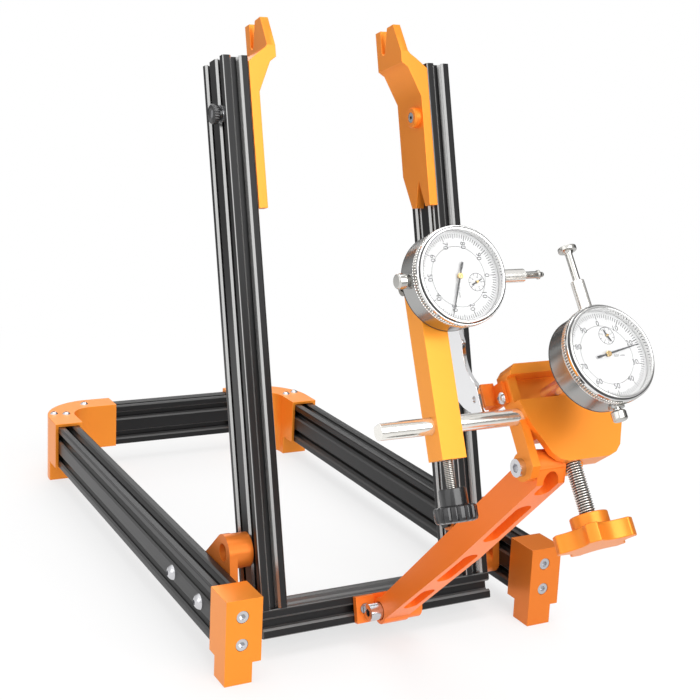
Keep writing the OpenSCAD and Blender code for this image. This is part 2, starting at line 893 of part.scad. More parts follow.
module bar_knob() {
    color("#141414") on_bar() translate([bar_x, 0, bar_low - 16]) mirror([0, 0, 1])
        difference() {
            union() {
                cylinder(d = 16.5, h = 11);
                translate([0, 0, 10]) fluted(25.5, 9.5, 14, 1.1);
            }
            translate([0, 0, -1]) cylinder(d = bar_screw_d + 0.1, h = 9);
        }
}

// ---- Dial gauges ----

// Case with its stem and cap boss. The lug's plate lies across lug_axis.
module gauge_case(lug_turn) {
    pillar = dial_y + 0.6;
    difference() {
        union() {
            rotate([-90, 0, 0]) difference() {
                union() {
                    translate([0, 0, bezel_t + gap])
                        cylinder(r = case_r, h = gauge_t - bezel_t - gap);
                    translate([0, 0, dial_y + 1]) cylinder(r = spigot_r, h = bezel_t);
                }
                translate([0, 0, 0]) cylinder(r = spigot_r - 1.6, h = gauge_t - 2);
            }
            translate([-5, pillar, -6]) cube([11, gauge_t - 1 - pillar, 20]);
            translate([0, stem_y, case_r - 3]) cylinder(r = stem_r - 0.3, h = 4);
            translate([0, stem_y, collar_end - 1])
                cylinder(r = stem_r, h = stem_end - collar_end + 1);
            difference() {
                union() {
                    translate([0, stem_y, case_r - 3]) cylinder(r = 5.4, h = collar_end - case_r + 3);
                    translate([0, stem_y, -collar_end]) cylinder(r = 4.6, h = collar_end - case_r + 3);
                }
                rotate([-90, 0, 0]) cylinder(r = bezel_r + 0.6, h = bezel_t + gap);
            }
            rotate([0, lug_turn, 0]) side_shape(-lug_t / 2, lug_t / 2) {
                translate([gauge_t - 1, -lug_r]) square([lug_hole_y - gauge_t + 1, 2 * lug_r]);
                translate([lug_hole_y, 0]) circle(r = lug_r);
            }
        }
        translate([0, stem_y, -60]) cylinder(r = plunger_r + play, h = 120);
        rotate([-90, 0, 0]) cylinder(d = 2.1, h = 9);
        translate([counter_at[0], 0, counter_at[1]]) rotate([-90, 0, 0])
            cylinder(d = 1.6, h = 9);
        rotate([0, lug_turn, 0]) translate([0, lug_hole_y, 0])
            bar_x_axis(lug_turn == 0 ? 4.1 : 6.1, -10, 10);
    }
}

// Centre of the dial, which stays still when the bezel turns
module gauge_dial() {
    rotate([-90, 0, 0]) translate([0, 0, dial_y]) difference() {
        cylinder(r = dial_r, h = 0.6);
        translate([0, 0, -1]) cylinder(d = 2.4, h = 3);
        translate([counter_at[0], -counter_at[1], -1]) cylinder(d = 1.8, h = 3);
    }
}

// Bezel with the outer ring of the dial fixed in it
module gauge_bezel() {
    ring_in = dial_r + 0.1;
    spigot_fit = spigot_r + play;
    rotate([-90, 0, 0]) rotate_extrude()
        polygon([[lip_r, 0], [bezel_r - 1.6, 0], [bezel_r, 1.6], [bezel_r, bezel_t - 0.8],
                 [bezel_r - 0.8, bezel_t], [spigot_fit, bezel_t], [spigot_fit, dial_y + 0.8],
                 [spigot_fit - 0.6, dial_y + 0.6], [ring_in, dial_y + 0.6], [ring_in, dial_y],
                 [lip_r, dial_y], [lip_r, 2.7], [crystal_r + 0.1, 2.7], [crystal_r + 0.1, 1.2],
                 [lip_r, 1.2]]);
}

module gauge_crystal() {
    rotate([-90, 0, 0]) translate([0, 0, 1.25]) cylinder(r = crystal_r, h = 1.4);
}

// Hand on an arbor, pointing to +Z, turned clockwise on the dial by angle
module gauge_hand(angle, tip, tail, w, y0, hub_r, arbor_d) {
    rotate([0, -angle, 0]) {
        rotate([90, 0, 0]) translate([0, 0, -y0 - 0.3]) linear_extrude(0.3)
            polygon([[-w / 2, -tail], [w / 2, -tail], [w / 2, 0], [w / 6, tip], [-w / 6, tip],
                     [-w / 2, 0]]);
        rotate([-90, 0, 0]) translate([0, 0, y0 - 0.4]) cylinder(r = hub_r, h = 0.9);
        rotate([-90, 0, 0]) translate([0, 0, y0]) cylinder(d = arbor_d, h = 8.6 - y0);
    }
}

// Plunger through the case, from its cap behind to rod_end
module gauge_plunger(rod_end) {
    cap_h = cap_ends[1] - cap_ends[0];
    translate([0, stem_y, -cap_ends[0] - 2]) cylinder(r = plunger_r, h = rod_end + cap_ends[0] + 2);
    translate([0, stem_y, -cap_ends[1]]) {
        cylinder(r1 = cap_r - 0.8, r2 = cap_r, h = 1);
        translate([0, 0, 1]) cylinder(r = cap_r, h = cap_h - 2);
        translate([0, 0, cap_h - 1]) cylinder(r1 = cap_r, r2 = cap_r - 0.8, h = 1);
    }
}

module left_case() {
    color(steel_finish) on_left_gauge() gauge_case(90);
}

module left_dial() {
    color(dial_finish) on_left_gauge() gauge_dial();
}

module left_bezel() {
    color(steel_finish) on_left_gauge() gauge_bezel();
}

module left_crystal() {
    color("#ffffff", 0.3) on_left_gauge() gauge_crystal();
}

module left_pointer() {
    color("#111111") on_left_gauge() gauge_hand(left_reading, hand_tip, 8.5, 1.2, 4.2, 1.8, 2);
}

module left_counter() {
    color("#111111") on_left_gauge() translate([counter_at[0], 0, counter_at[1]])
        gauge_hand(-40, 4, 1.5, 0.7, 5.2, 0.8, 1.5);
}

module left_plunger() {
    color(steel_finish) on_left_gauge() {
        gauge_plunger(58.5);
        translate([0, stem_y, 58.3]) cylinder(r = 2.8, h = 1.2);
        translate([0, stem_y, 59.4]) cylinder(r1 = 2.4, r2 = 1.4, h = 1.8);
        translate([0, stem_y, 61.4]) sphere(r = 1.6);
    }
}

module right_case() {
    color(steel_finish) on_right_gauge() gauge_case(0);
}

module right_dial() {
    color(dial_finish) on_right_gauge() gauge_dial();
}

module right_bezel() {
    color(steel_finish) on_right_gauge() gauge_bezel();
}

module right_crystal() {
    color("#ffffff", 0.3) on_right_gauge() gauge_crystal();
}

module right_pointer() {
    color("#111111") on_right_gauge() gauge_hand(right_reading, hand_tip, 8.5, 1.2, 4.2, 1.8, 2);
}

module right_counter() {
    color("#111111") on_right_gauge() translate([counter_at[0], 0, counter_at[1]])
        gauge_hand(-40, 4, 1.5, 0.7, 5.2, 0.8, 1.5);
}

module right_plunger() {
    color(steel_finish) on_right_gauge() {
        gauge_plunger(65.5);
        translate([0, stem_y, 65.4]) cylinder(r1 = plunger_r, r2 = 3.4, h = 2.2);
        translate([0, stem_y, 67.5]) cylinder(r = 5.5, h = 2.5);
    }
}

side_rail_left();
side_rail_right();
rear_rail();
corner_bracket_left();
corner_bracket_right();
corner_screws();
foot_left();
foot_right();
foot_screws();
pivot_bracket_left();
pivot_bracket_right();
bracket_bolts();
pivot_bolts();
pivot_washers();
pivot_nuts();
cross_rail();
upright_left();
upright_right();
upright_screws();
axle_plate_left();
axle_plate_right();
cup_washer();
axle_plate_screws();
slot_nut();
thumb_nut_washer();
thumb_nut();
arm_hinge_plate();
hinge_plate_screws();
arm_hinge_bolt();
slotted_arm();
carriage_block();
carriage_bolt();
gauge_post();
gauge_post_screw();
feeler_holder();
feeler_screw();
feeler_plate();
clamp_pad();
clamp_screw();
star_knob();
cross_rod();
gauge_bar();
lug_bolt();
bar_pad();
bar_screw();
bar_knob();
left_case();
left_dial();
left_plunger();
left_pointer();
left_counter();
left_bezel();
right_case();
right_dial();
right_plunger();
right_pointer();
right_counter();
right_bezel();
left_crystal();
right_crystal();
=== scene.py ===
"""Looks of a bicycle wheel truing stand.

The stand has a base of slotted rails on four orange corner feet, a leaning forked
frame with two notched axle plates, and a swinging arm with a carriage that holds two
dial gauges and a steel feeler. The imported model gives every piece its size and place.
This script machines the edges, cuts the threads and knurls, prints the dials, and
gives each surface its finish. All sizes are in metres unless a name says otherwise.
"""

from __future__ import annotations

import json
import logging
import math
from dataclasses import dataclass, field
from enum import Enum
from typing import Callable, Sequence, Union

import bmesh
import bpy
from mathutils import Matrix, Vector

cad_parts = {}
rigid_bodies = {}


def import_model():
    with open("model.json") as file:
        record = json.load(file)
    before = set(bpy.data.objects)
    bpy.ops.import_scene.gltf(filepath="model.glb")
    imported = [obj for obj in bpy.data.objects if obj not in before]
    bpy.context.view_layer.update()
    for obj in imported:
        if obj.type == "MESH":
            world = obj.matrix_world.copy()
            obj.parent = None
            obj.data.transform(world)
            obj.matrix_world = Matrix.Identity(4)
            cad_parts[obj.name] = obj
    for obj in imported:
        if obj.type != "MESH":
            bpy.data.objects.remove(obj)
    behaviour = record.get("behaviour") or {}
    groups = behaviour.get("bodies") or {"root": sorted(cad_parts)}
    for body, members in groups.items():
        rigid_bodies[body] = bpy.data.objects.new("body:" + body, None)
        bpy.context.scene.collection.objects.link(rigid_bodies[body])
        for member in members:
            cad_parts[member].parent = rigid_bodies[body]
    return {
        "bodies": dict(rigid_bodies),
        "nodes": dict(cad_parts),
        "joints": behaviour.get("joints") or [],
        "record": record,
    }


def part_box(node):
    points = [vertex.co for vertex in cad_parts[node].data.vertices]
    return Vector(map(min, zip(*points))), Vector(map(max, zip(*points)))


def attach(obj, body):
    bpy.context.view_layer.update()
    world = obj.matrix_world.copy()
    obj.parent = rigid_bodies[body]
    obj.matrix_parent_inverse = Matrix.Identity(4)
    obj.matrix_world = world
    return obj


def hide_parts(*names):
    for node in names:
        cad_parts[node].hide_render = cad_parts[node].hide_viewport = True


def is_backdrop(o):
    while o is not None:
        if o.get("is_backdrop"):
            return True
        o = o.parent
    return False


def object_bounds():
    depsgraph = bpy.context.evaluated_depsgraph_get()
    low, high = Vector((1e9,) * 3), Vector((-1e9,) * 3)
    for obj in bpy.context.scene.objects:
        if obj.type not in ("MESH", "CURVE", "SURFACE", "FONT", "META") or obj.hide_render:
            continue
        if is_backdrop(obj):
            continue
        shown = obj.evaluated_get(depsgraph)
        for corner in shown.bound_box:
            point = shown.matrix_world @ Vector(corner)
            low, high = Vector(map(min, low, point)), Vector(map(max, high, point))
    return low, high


LOG = logging.getLogger("truing_stand")
MM = 0.001
Colour = tuple[float, float, float]
Profile = Sequence[tuple[float, float]]


class Side(Enum):
    """Which of the stand's two gauges is meant."""

    LEFT = "left"
    RIGHT = "right"


# ---- Shader maths ----


class Wire:
    """One output of a shader node, used in expressions like a number."""

    def __init__(self, graph: "Graph", socket: bpy.types.NodeSocket) -> None:
        """Wrap a socket of a graph.

        Args:
            graph: The material's graph, which adds the maths nodes.
            socket: The output that carries the value.
        """
        self.graph = graph
        self.socket = socket

    def math(self, operation: str, *values: "Value") -> "Wire":
        """Add a Math node.

        Args:
            operation: Blender's name for the operation.
            values: Its inputs in order.

        Returns:
            The node's result.
        """
        return self.graph.node("ShaderNodeMath", {"operation": operation},
                               dict(enumerate(values)))

    def __add__(self, other: "Value") -> "Wire":
        """Sum."""
        return self.math("ADD", self, other)

    def __radd__(self, other: "Value") -> "Wire":
        """Sum with a number on the left."""
        return self.math("ADD", other, self)

    def __sub__(self, other: "Value") -> "Wire":
        """Difference."""
        return self.math("SUBTRACT", self, other)

    def __rsub__(self, other: "Value") -> "Wire":
        """Difference from a number on the left."""
        return self.math("SUBTRACT", other, self)

    def __mul__(self, other: "Value") -> "Wire":
        """Product."""
        return self.math("MULTIPLY", self, other)

    def __rmul__(self, other: "Value") -> "Wire":
        """Product with a number on the left."""
        return self.math("MULTIPLY", other, self)

    def __abs__(self) -> "Wire":
        """Size without its sign."""
        return self.math("ABSOLUTE", self)

    def step(self, low: float, high: float) -> "Wire":
        """Rise smoothly from 0 at low to 1 at high."""
        return self.graph.node(
            "ShaderNodeMapRange", {"interpolation_type": "SMOOTHSTEP"},
            {"Value": self, "From Min": low, "From Max": high})


Value = Union[Wire, float]
Anything = Union[Wire, float, Sequence[float]]


class Graph:
    """The node graph of one material, ending in a Principled shader."""

    def __init__(self, name: str) -> None:
        """Start a material with nothing but its shader and output."""
        self.material = bpy.data.materials.new(name)
        self.material.use_nodes = True
        self.tree = self.material.node_tree
        self.shader = self.tree.nodes["Principled BSDF"]

    def node(self, kind: str, settings: dict[str, object],
             sockets: dict[Union[str, int], Anything], output: Union[str, int] = 0) -> Wire:
        """Add any node.

        Args:
            kind: The node's type.
            settings: Its properties, set first.
            sockets: Its inputs by name or number, each a wire or a value.
            output: The output to give back.

        Returns:
            The chosen output as a wire.
        """
        made = self.tree.nodes.new(kind)
        for key, value in settings.items():
            setattr(made, key, value)
        for key, value in sockets.items():
            self.feed(made.inputs[key], value)
        return Wire(self, made.outputs[output])

    def feed(self, socket: bpy.types.NodeSocket, value: Anything) -> None:
        """Link a wire to an input, or set the input's own value."""
        if isinstance(value, Wire):
            self.tree.links.new(value.socket, socket)
        elif isinstance(value, (int, float)):
            socket.default_value = value
        elif socket.type == "RGBA" and len(value) == 3:
            socket.default_value = (*value, 1.0)
        else:
            socket.default_value = value

    def surface(self, **inputs: Anything) -> bpy.types.Material:
        """Set the shader's inputs, with underscores for spaces, and give back the material."""
        for key, value in inputs.items():
            self.feed(self.shader.inputs[key.replace("_", " ")], value)
        return self.material

    def place(self) -> Wire:
        """Give the point in the piece's own frame, which moves with the piece."""
        return self.node("ShaderNodeTexCoord", {}, {}, "Object")

    def facing(self) -> Wire:
        """Give the surface's direction in the piece's own frame."""
        return self.node("ShaderNodeTexCoord", {}, {}, "Normal")

    def along(self, vector: Wire, direction: Sequence[float]) -> Wire:
        """Give how far a vector reaches along a direction."""
        return self.node("ShaderNodeVectorMath", {"operation": "DOT_PRODUCT"},
                         {0: vector, 1: tuple(direction)}, "Value")

    def reach(self, vector: Wire) -> Wire:
        """Give the length of a vector."""
        return self.node("ShaderNodeVectorMath", {"operation": "LENGTH"}, {0: vector}, "Value")

    def offset(self, origin: Sequence[float]) -> Wire:
        """Give the step from a fixed point of the piece to the point that is shaded."""
        return self.node("ShaderNodeVectorMath", {"operation": "SUBTRACT"},
                         {0: self.place(), 1: tuple(origin)})

    def joined(self, x: Value, y: Value, z: Value) -> Wire:
        """Make a vector of three values."""
        return self.node("ShaderNodeCombineXYZ", {}, {0: x, 1: y, 2: z})

    def noise(self, vector: Wire, scale: float, detail: float = 2.0) -> Wire:
        """Give soft noise between 0 and 1."""
        return self.node("ShaderNodeTexNoise", {},
                         {"Vector": vector, "Scale": scale, "Detail": detail})

    def blend(self, factor: Value, first: Anything, second: Anything) -> Wire:
        """Mix two colours."""
        return self.node("ShaderNodeMix", {"data_type": "RGBA"},
                         {0: factor, 6: first, 7: second}, 2)

    def bump(self, height: Value, depth: float, strength: float = 1.0) -> Wire:
        """Give a normal that is pushed by a height.

        Args:
            height: The pattern, from 0 to 1.
            depth: The real depth of the pattern, in metres.
            strength: How much of it shows.

        Returns:
            The bumped normal.
        """
        return self.node("ShaderNodeBump", {},
                         {"Strength": strength, "Distance": depth, "Height": height})


# ---- Finishes ----


@dataclass(frozen=True)
class Anodised:
    """Dyed anodised aluminium over a blasted surface."""

    name: str
    colour: Colour
    deep: Colour
    rough: float = 0.34
    metal: float = 0.45

    def make(self) -> bpy.types.Material:
        """Build the material: fine grain, slow drift of the dye and a sealed top layer."""
        g = Graph(self.name)
        place = g.place()
        drift = g.noise(place, 28.0, 3.0)
        grain = g.noise(place, 5200.0, 1.0)
        shade = g.blend(0.25 + 0.5 * drift, self.deep, self.colour)
        return g.surface(
            Base_Color=shade, Metallic=self.metal, IOR=1.4,
            Roughness=self.rough + 0.10 * (grain - 0.5) + 0.06 * (drift - 0.5),
            Coat_Weight=0.04, Coat_Roughness=0.25,
            Normal=g.bump(grain, 0.00002, 0.35))


@dataclass(frozen=True)
class SlottedRail:
    """Black anodised extrusion with die lines along it; its slanted slot sides get a painted
    highlight, a lighter grey standing in for the reflection they catch.
    """

    name: str
    along: tuple[float, float, float]
    thin: tuple[float, float, float]
    wide: tuple[float, float, float]
    shine: float = 0.85
    colour: Colour = (0.013, 0.013, 0.0135)
    wall: Colour = (0.480, 0.480, 0.475)
    rough: float = 0.33

    def make(self) -> bpy.types.Material:
        """Build the material from the rail's own three directions."""
        g = Graph(self.name)
        place = g.place()
        facing = g.facing()
        # Painted highlight: faces slanted between the two cross directions are blended to a
        # lighter grey and made more metallic, standing in for the reflection of the bright
        # surroundings.
        slant = abs(g.along(facing, self.thin)) * abs(g.along(facing, self.wide))
        wall_sheen = self.shine * slant.step(0.36, 0.48)
        x = g.along(place, self.thin)
        y = g.along(place, self.wide)
        z = g.along(place, self.along)
        lines = g.noise(g.joined(x * 2600.0, y * 2600.0, z * 9.0), 1.0, 3.0)
        cloud = g.noise(g.joined(x * 60.0, y * 60.0, z * 14.0), 1.0, 2.0)
        sawn = abs(g.along(facing, self.along)).step(0.8, 0.95)
        black = g.blend(cloud, [c * 0.8 for c in self.colour], [c * 1.25 for c in self.colour])
        body = g.blend(wall_sheen, black, self.wall)
        return g.surface(
            Base_Color=g.blend(sawn * 0.10, body, (0.32, 0.32, 0.33)),
            Metallic=0.30 + 0.6 * wall_sheen, IOR=1.35,
            Roughness=self.rough - 0.12 * wall_sheen + 0.14 * (lines - 0.5) + 0.05 * (cloud - 0.5),
            Coat_Weight=0.0,
            Normal=g.bump(lines, 0.00003, 0.3))


@dataclass(frozen=True)
class BrightMetal:
    """Polished, chromed or turned bare metal."""

    name: str
    colour: Colour
    rough: float = 0.12
    grain: float = 900.0
    grain_depth: float = 0.15
    metal: float = 1.0

    def make(self) -> bpy.types.Material:
        """Build the material: clean metal with faint handling marks."""
        g = Graph(self.name)
        place = g.place()
        smudge = g.noise(place, 65.0, 4.0)
        grain = g.noise(place, self.grain, 2.0)
        return g.surface(
            Base_Color=g.blend(smudge, [c * 0.93 for c in self.colour], self.colour),
            Metallic=self.metal,
            Roughness=self.rough + 0.07 * (smudge - 0.35) + 0.04 * (grain - 0.5),
            Normal=g.bump(grain, 0.00001, self.grain_depth))


@dataclass(frozen=True)
class CaseMetal:
    """Satin chrome of a gauge's case, with its stem ground bright."""

    name: str
    middle: tuple[float, float, float]
    stem: tuple[float, float, float]
    body: Colour = (0.43, 0.43, 0.42)
    bright: Colour = (0.90, 0.88, 0.84)

    def make(self) -> bpy.types.Material:
        """Build the material: brighter beyond the case's rim, where the stem is."""
        g = Graph(self.name)
        place = g.place()
        ground = g.along(g.offset(self.middle), self.stem).step(28.0 * MM, 29.0 * MM)
        smudge = g.noise(place, 65.0, 4.0)
        return g.surface(
            Base_Color=g.blend(ground, g.blend(smudge, [c * 0.9 for c in self.body], self.body),
                               self.bright),
            Metallic=1.0 - 0.17 * ground, Roughness=0.20 - 0.06 * ground + 0.07 * smudge,
            Normal=g.bump(g.noise(place, 900.0, 2.0), 0.00001, 0.15))


@dataclass(frozen=True)
class CutThread:
    """Turned steel thread, with a painted highlight on its crests and painted shade in its
    grooves.
    """

    name: str
    axis: tuple[float, float, float]
    origin: tuple[float, float, float]
    root: float
    crest: float

    def make(self) -> bpy.types.Material:
        """Build the material: painted light, darker near the axis and brighter further out from
        it.
        """
        g = Graph(self.name)
        arm = g.node("ShaderNodeVectorMath", {"operation": "CROSS_PRODUCT"},
                     {0: g.offset(self.origin), 1: self.axis})
        # Painted highlight and shade: the colour runs from near black at the root to pale at the
        # crest.
        bright = g.reach(arm).step(self.root, self.crest)
        swirl = g.noise(g.place(), 2400.0, 2.0)
        return g.surface(
            Base_Color=g.blend(bright, (0.05, 0.048, 0.044), (0.82, 0.80, 0.76)),
            Metallic=0.6 + 0.4 * bright, Roughness=0.42 - 0.20 * bright + 0.06 * (swirl - 0.5),
            Normal=g.bump(swirl, 0.00001, 0.2))


@dataclass(frozen=True)
class Moulded:
    """Glossy moulded plastic or enamel."""

    name: str
    colour: Colour
    rough: float = 0.22
    coat: float = 0.5
    texture: float = 1400.0

    def make(self) -> bpy.types.Material:
        """Build the material: smooth skin with a slight orange peel."""
        g = Graph(self.name)
        place = g.place()
        peel = g.noise(place, self.texture, 2.0)
        dust = g.noise(place, 130.0, 5.0)
        return g.surface(
            Base_Color=g.blend(dust, [c * 0.9 for c in self.colour], self.colour),
            Roughness=self.rough + 0.10 * (dust - 0.5), IOR=1.5,
            Coat_Weight=self.coat, Coat_Roughness=0.08,
            Normal=g.bump(peel, 0.00002, 0.3))


@dataclass(frozen=True)
class ClearGlass:
    """Thin clear crystal over a dial."""

    name: str
    alpha: float = 0.04

    def make(self) -> bpy.types.Material:
        """Build the material: nearly unseen, with a sharp reflection."""
        g = Graph(self.name)
        smear = g.noise(g.place(), 40.0, 3.0)
        return g.surface(Base_Color=(0.97, 0.98, 1.0), Alpha=self.alpha, IOR=1.5,
                         Roughness=0.02 + 0.05 * smear, Coat_Weight=0.0)


ORANGE = Anodised("orange_anodised", (0.95, 0.310, 0.030), (0.89, 0.265, 0.022))
# Painted light: a lighter, yellower copy of the orange, standing in for the strong light on the
# gauge bar's front.
LIT_BAR_ORANGE = Anodised("bar_anodised", (0.96, 0.36, 0.032), (0.92, 0.31, 0.025), rough=0.30)
# Painted shade: a redder copy of the orange, standing in for the shade on the arm and its hinge
# plate.
SHADED_ARM_ORANGE = Anodised("arm_anodised", (0.98, 0.225, 0.024), (0.93, 0.195, 0.020), metal=0.20)
# Painted shade: a darker, redder copy of the orange, standing in for the shade on the right foot,
# pivot brackets, their washers and the feeler holder.
SHADED_ORANGE = Anodised("deep_anodised", (0.82, 0.215, 0.024), (0.76, 0.190, 0.020))
KNOB_ORANGE = Anodised("knob_anodised", (0.95, 0.29, 0.026), (0.88, 0.24, 0.020))
CHROME = BrightMetal("gauge_chrome", (0.88, 0.88, 0.87), 0.10)
PLUNGER = BrightMetal("plunger_steel", (0.62, 0.61, 0.58), 0.07)
SCREW = BrightMetal("socket_screw", (0.66, 0.66, 0.68), 0.20, grain=2400.0)
BLACK_OXIDE = BrightMetal("black_oxide", (0.05, 0.05, 0.05), 0.30, grain=2400.0)
LUG_STEEL = BrightMetal("lug_steel", (0.34, 0.32, 0.29), 0.16, grain=2400.0)
ROD = BrightMetal("ground_rod", (0.93, 0.91, 0.86), 0.10, grain=1800.0, metal=0.84)
BLADE = BrightMetal("feeler_blade", (0.84, 0.84, 0.85), 0.07, grain=700.0, grain_depth=0.3)
BRASS = BrightMetal("brass", (0.72, 0.50, 0.20), 0.22)
BLACK_KNOB = Moulded("black_moulding", (0.010, 0.010, 0.011))
DIAL_WHITE = Moulded("dial_white", (0.71, 0.71, 0.71), rough=0.45, coat=0.0, texture=300.0)
DIAL_INK = Moulded("dial_ink", (0.020, 0.020, 0.022), rough=0.6, coat=0.0)
HAND_BLACK = Moulded("hand_black", (0.012, 0.012, 0.013), rough=0.35, coat=0.1)
CRYSTAL = ClearGlass("crystal")
Finish = Union[Anodised, SlottedRail, BrightMetal, CaseMetal, CutThread, Moulded, ClearGlass]


# ---- Making meshes ----


def unit(vector: Sequence[float]) -> Vector:
    """Give a vector of length 1."""
    return Vector(vector).normalized()


def axes(origin: Sequence[float], across: Vector, back: Vector, up: Vector) -> Matrix:
    """Give the matrix of a local frame.

    Args:
        origin: Where the frame sits.
        across: Its X direction.
        back: Its Y direction.
        up: Its Z direction.

    Returns:
        The matrix that turns local points into the model's frame.
    """
    matrix = Matrix((across, back, up)).transposed().to_4x4()
    matrix.translation = Vector(origin)
    return matrix


def upon(origin: Sequence[float], up: Sequence[float]) -> Matrix:
    """Give a local frame whose Z runs along a direction."""
    z = unit(up)
    x = z.orthogonal().normalized()
    if abs(z.x) < 0.9:
        x = (Vector((1, 0, 0)) - z * z.x).normalized()
    return axes(origin, x, z.cross(x), z)


class Blank:
    """A mesh in the making, drawn in a local frame."""

    def __init__(self, frame: Matrix) -> None:
        """Start an empty mesh in a frame."""
        self.frame = frame
        self.bm = bmesh.new()

    def ring(self, points: Sequence[Sequence[float]]) -> list[bmesh.types.BMVert]:
        """Add points in the local frame."""
        return [self.bm.verts.new(self.frame @ Vector(p)) for p in points]

    def skin(self, rings: Sequence[list[bmesh.types.BMVert]], closed: bool) -> None:
        """Join rings of points by faces.

        Args:
            rings: The rings in order, all of one length.
            closed: Whether the last ring joins the first. Otherwise both ends are capped.
        """
        count = len(rings[0])
        pairs = list(zip(rings, rings[1:]))
        if closed:
            pairs.append((rings[-1], rings[0]))
        for a, b in pairs:
            for i in range(count):
                j = (i + 1) % count
                self.bm.faces.new((a[i], a[j], b[j], b[i]))
        if not closed:
            self.bm.faces.new(list(reversed(rings[0])))
            self.bm.faces.new(rings[-1])

    def turn(self, profile: Profile, steps: int = 96, closed: bool = False,
             ripple: Callable[[int, float], float] = lambda i, a: 0.0) -> None:
        """Turn a profile about the local Z axis.

        Args:
            profile: Radius and height of each point.
            steps: How many points go round.
            closed: Whether the profile is a closed outline, as of a ring.
            ripple: Adds to the radius of profile point i at angle a.
        """
        rings = []
        for i, (radius, height) in enumerate(profile):
            ring = []
            for k in range(steps):
                a = 2 * math.pi * k / steps
                r = radius + ripple(i, a)
                ring.append((r * math.cos(a), r * math.sin(a), height))
            rings.append(self.ring(ring))
        self.skin(rings, closed)

    def prism(self, outline: Sequence[tuple[float, float]], low: float, high: float) -> None:
        """Raise a flat outline along local Z."""
        rings = [self.ring([(x, y, z) for x, y in outline]) for z in (low, high)]
        self.skin(rings, False)

    def adopt(self, mesh: bpy.types.Mesh, place: Matrix) -> None:
        """Take in another mesh, placed in the local frame."""
        copy = mesh.copy()
        copy.transform(self.frame @ place)
        self.bm.from_mesh(copy)
        bpy.data.meshes.remove(copy)

    def piece(self, name: str, body: str, finish: bpy.types.Material, slot: str,
              replaced: Sequence[str] = (), smooth: float = 35.0) -> bpy.types.Object:
        """Finish the mesh as an object of the stand.

        Args:
            name: The piece's name.
            body: The body it rides on.
            finish: Its material.
            slot: The record's material slot it belongs to. It is not used.
            replaced: The solids it stands for.
            smooth: Edges flatter than this many degrees are shaded smooth.

        Returns:
            The object.
        """
        bmesh.ops.recalc_face_normals(self.bm, faces=self.bm.faces)
        mesh = bpy.data.meshes.new(name)
        self.bm.to_mesh(mesh)
        self.bm.free()
        return enrol(bpy.data.objects.new(name, mesh), body, finish, slot, replaced, smooth)


def enrol(made: bpy.types.Object, body: str, finish: bpy.types.Material, slot: str,
          replaced: Sequence[str] = (), smooth: float = 35.0) -> bpy.types.Object:
    """Link a piece, dress it and fasten it to its body. Arguments are as in Blank.piece."""
    if made.name not in bpy.context.scene.collection.objects:
        bpy.context.scene.collection.objects.link(made)
    mesh = made.data
    mesh.polygons.foreach_set("use_smooth", [True] * len(mesh.polygons))
    mesh.set_sharp_from_angle(angle=math.radians(smooth))
    mesh.materials.clear()
    mesh.materials.append(finish)
    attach(made, body)
    if replaced:
        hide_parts(*replaced)
    LOG.info("%s rides on %s, %d faces", made.name, body, len(mesh.polygons))
    return made


def numeral(text: str, height: float) -> bpy.types.Mesh:
    """Give the flat mesh of a number, centred on its own origin.

    Args:
        text: The digits.
        height: How tall they are.

    Returns:
        A mesh in its own XY plane.
    """
    curve = bpy.data.curves.new("numeral_" + text, "FONT")
    curve.body = text
    curve.size = height / 0.7
    curve.align_x = "CENTER"
    curve.align_y = "CENTER"
    curve.resolution_u = 3
    holder = bpy.data.objects.new("numeral_" + text, curve)
    bpy.context.scene.collection.objects.link(holder)
    bpy.context.view_layer.update()
    mesh = bpy.data.meshes.new_from_object(holder.evaluated_get(
        bpy.context.evaluated_depsgraph_get()))
    bpy.data.objects.remove(holder)
    bpy.data.curves.remove(curve)
    return mesh


# ---- The frame's own data ----


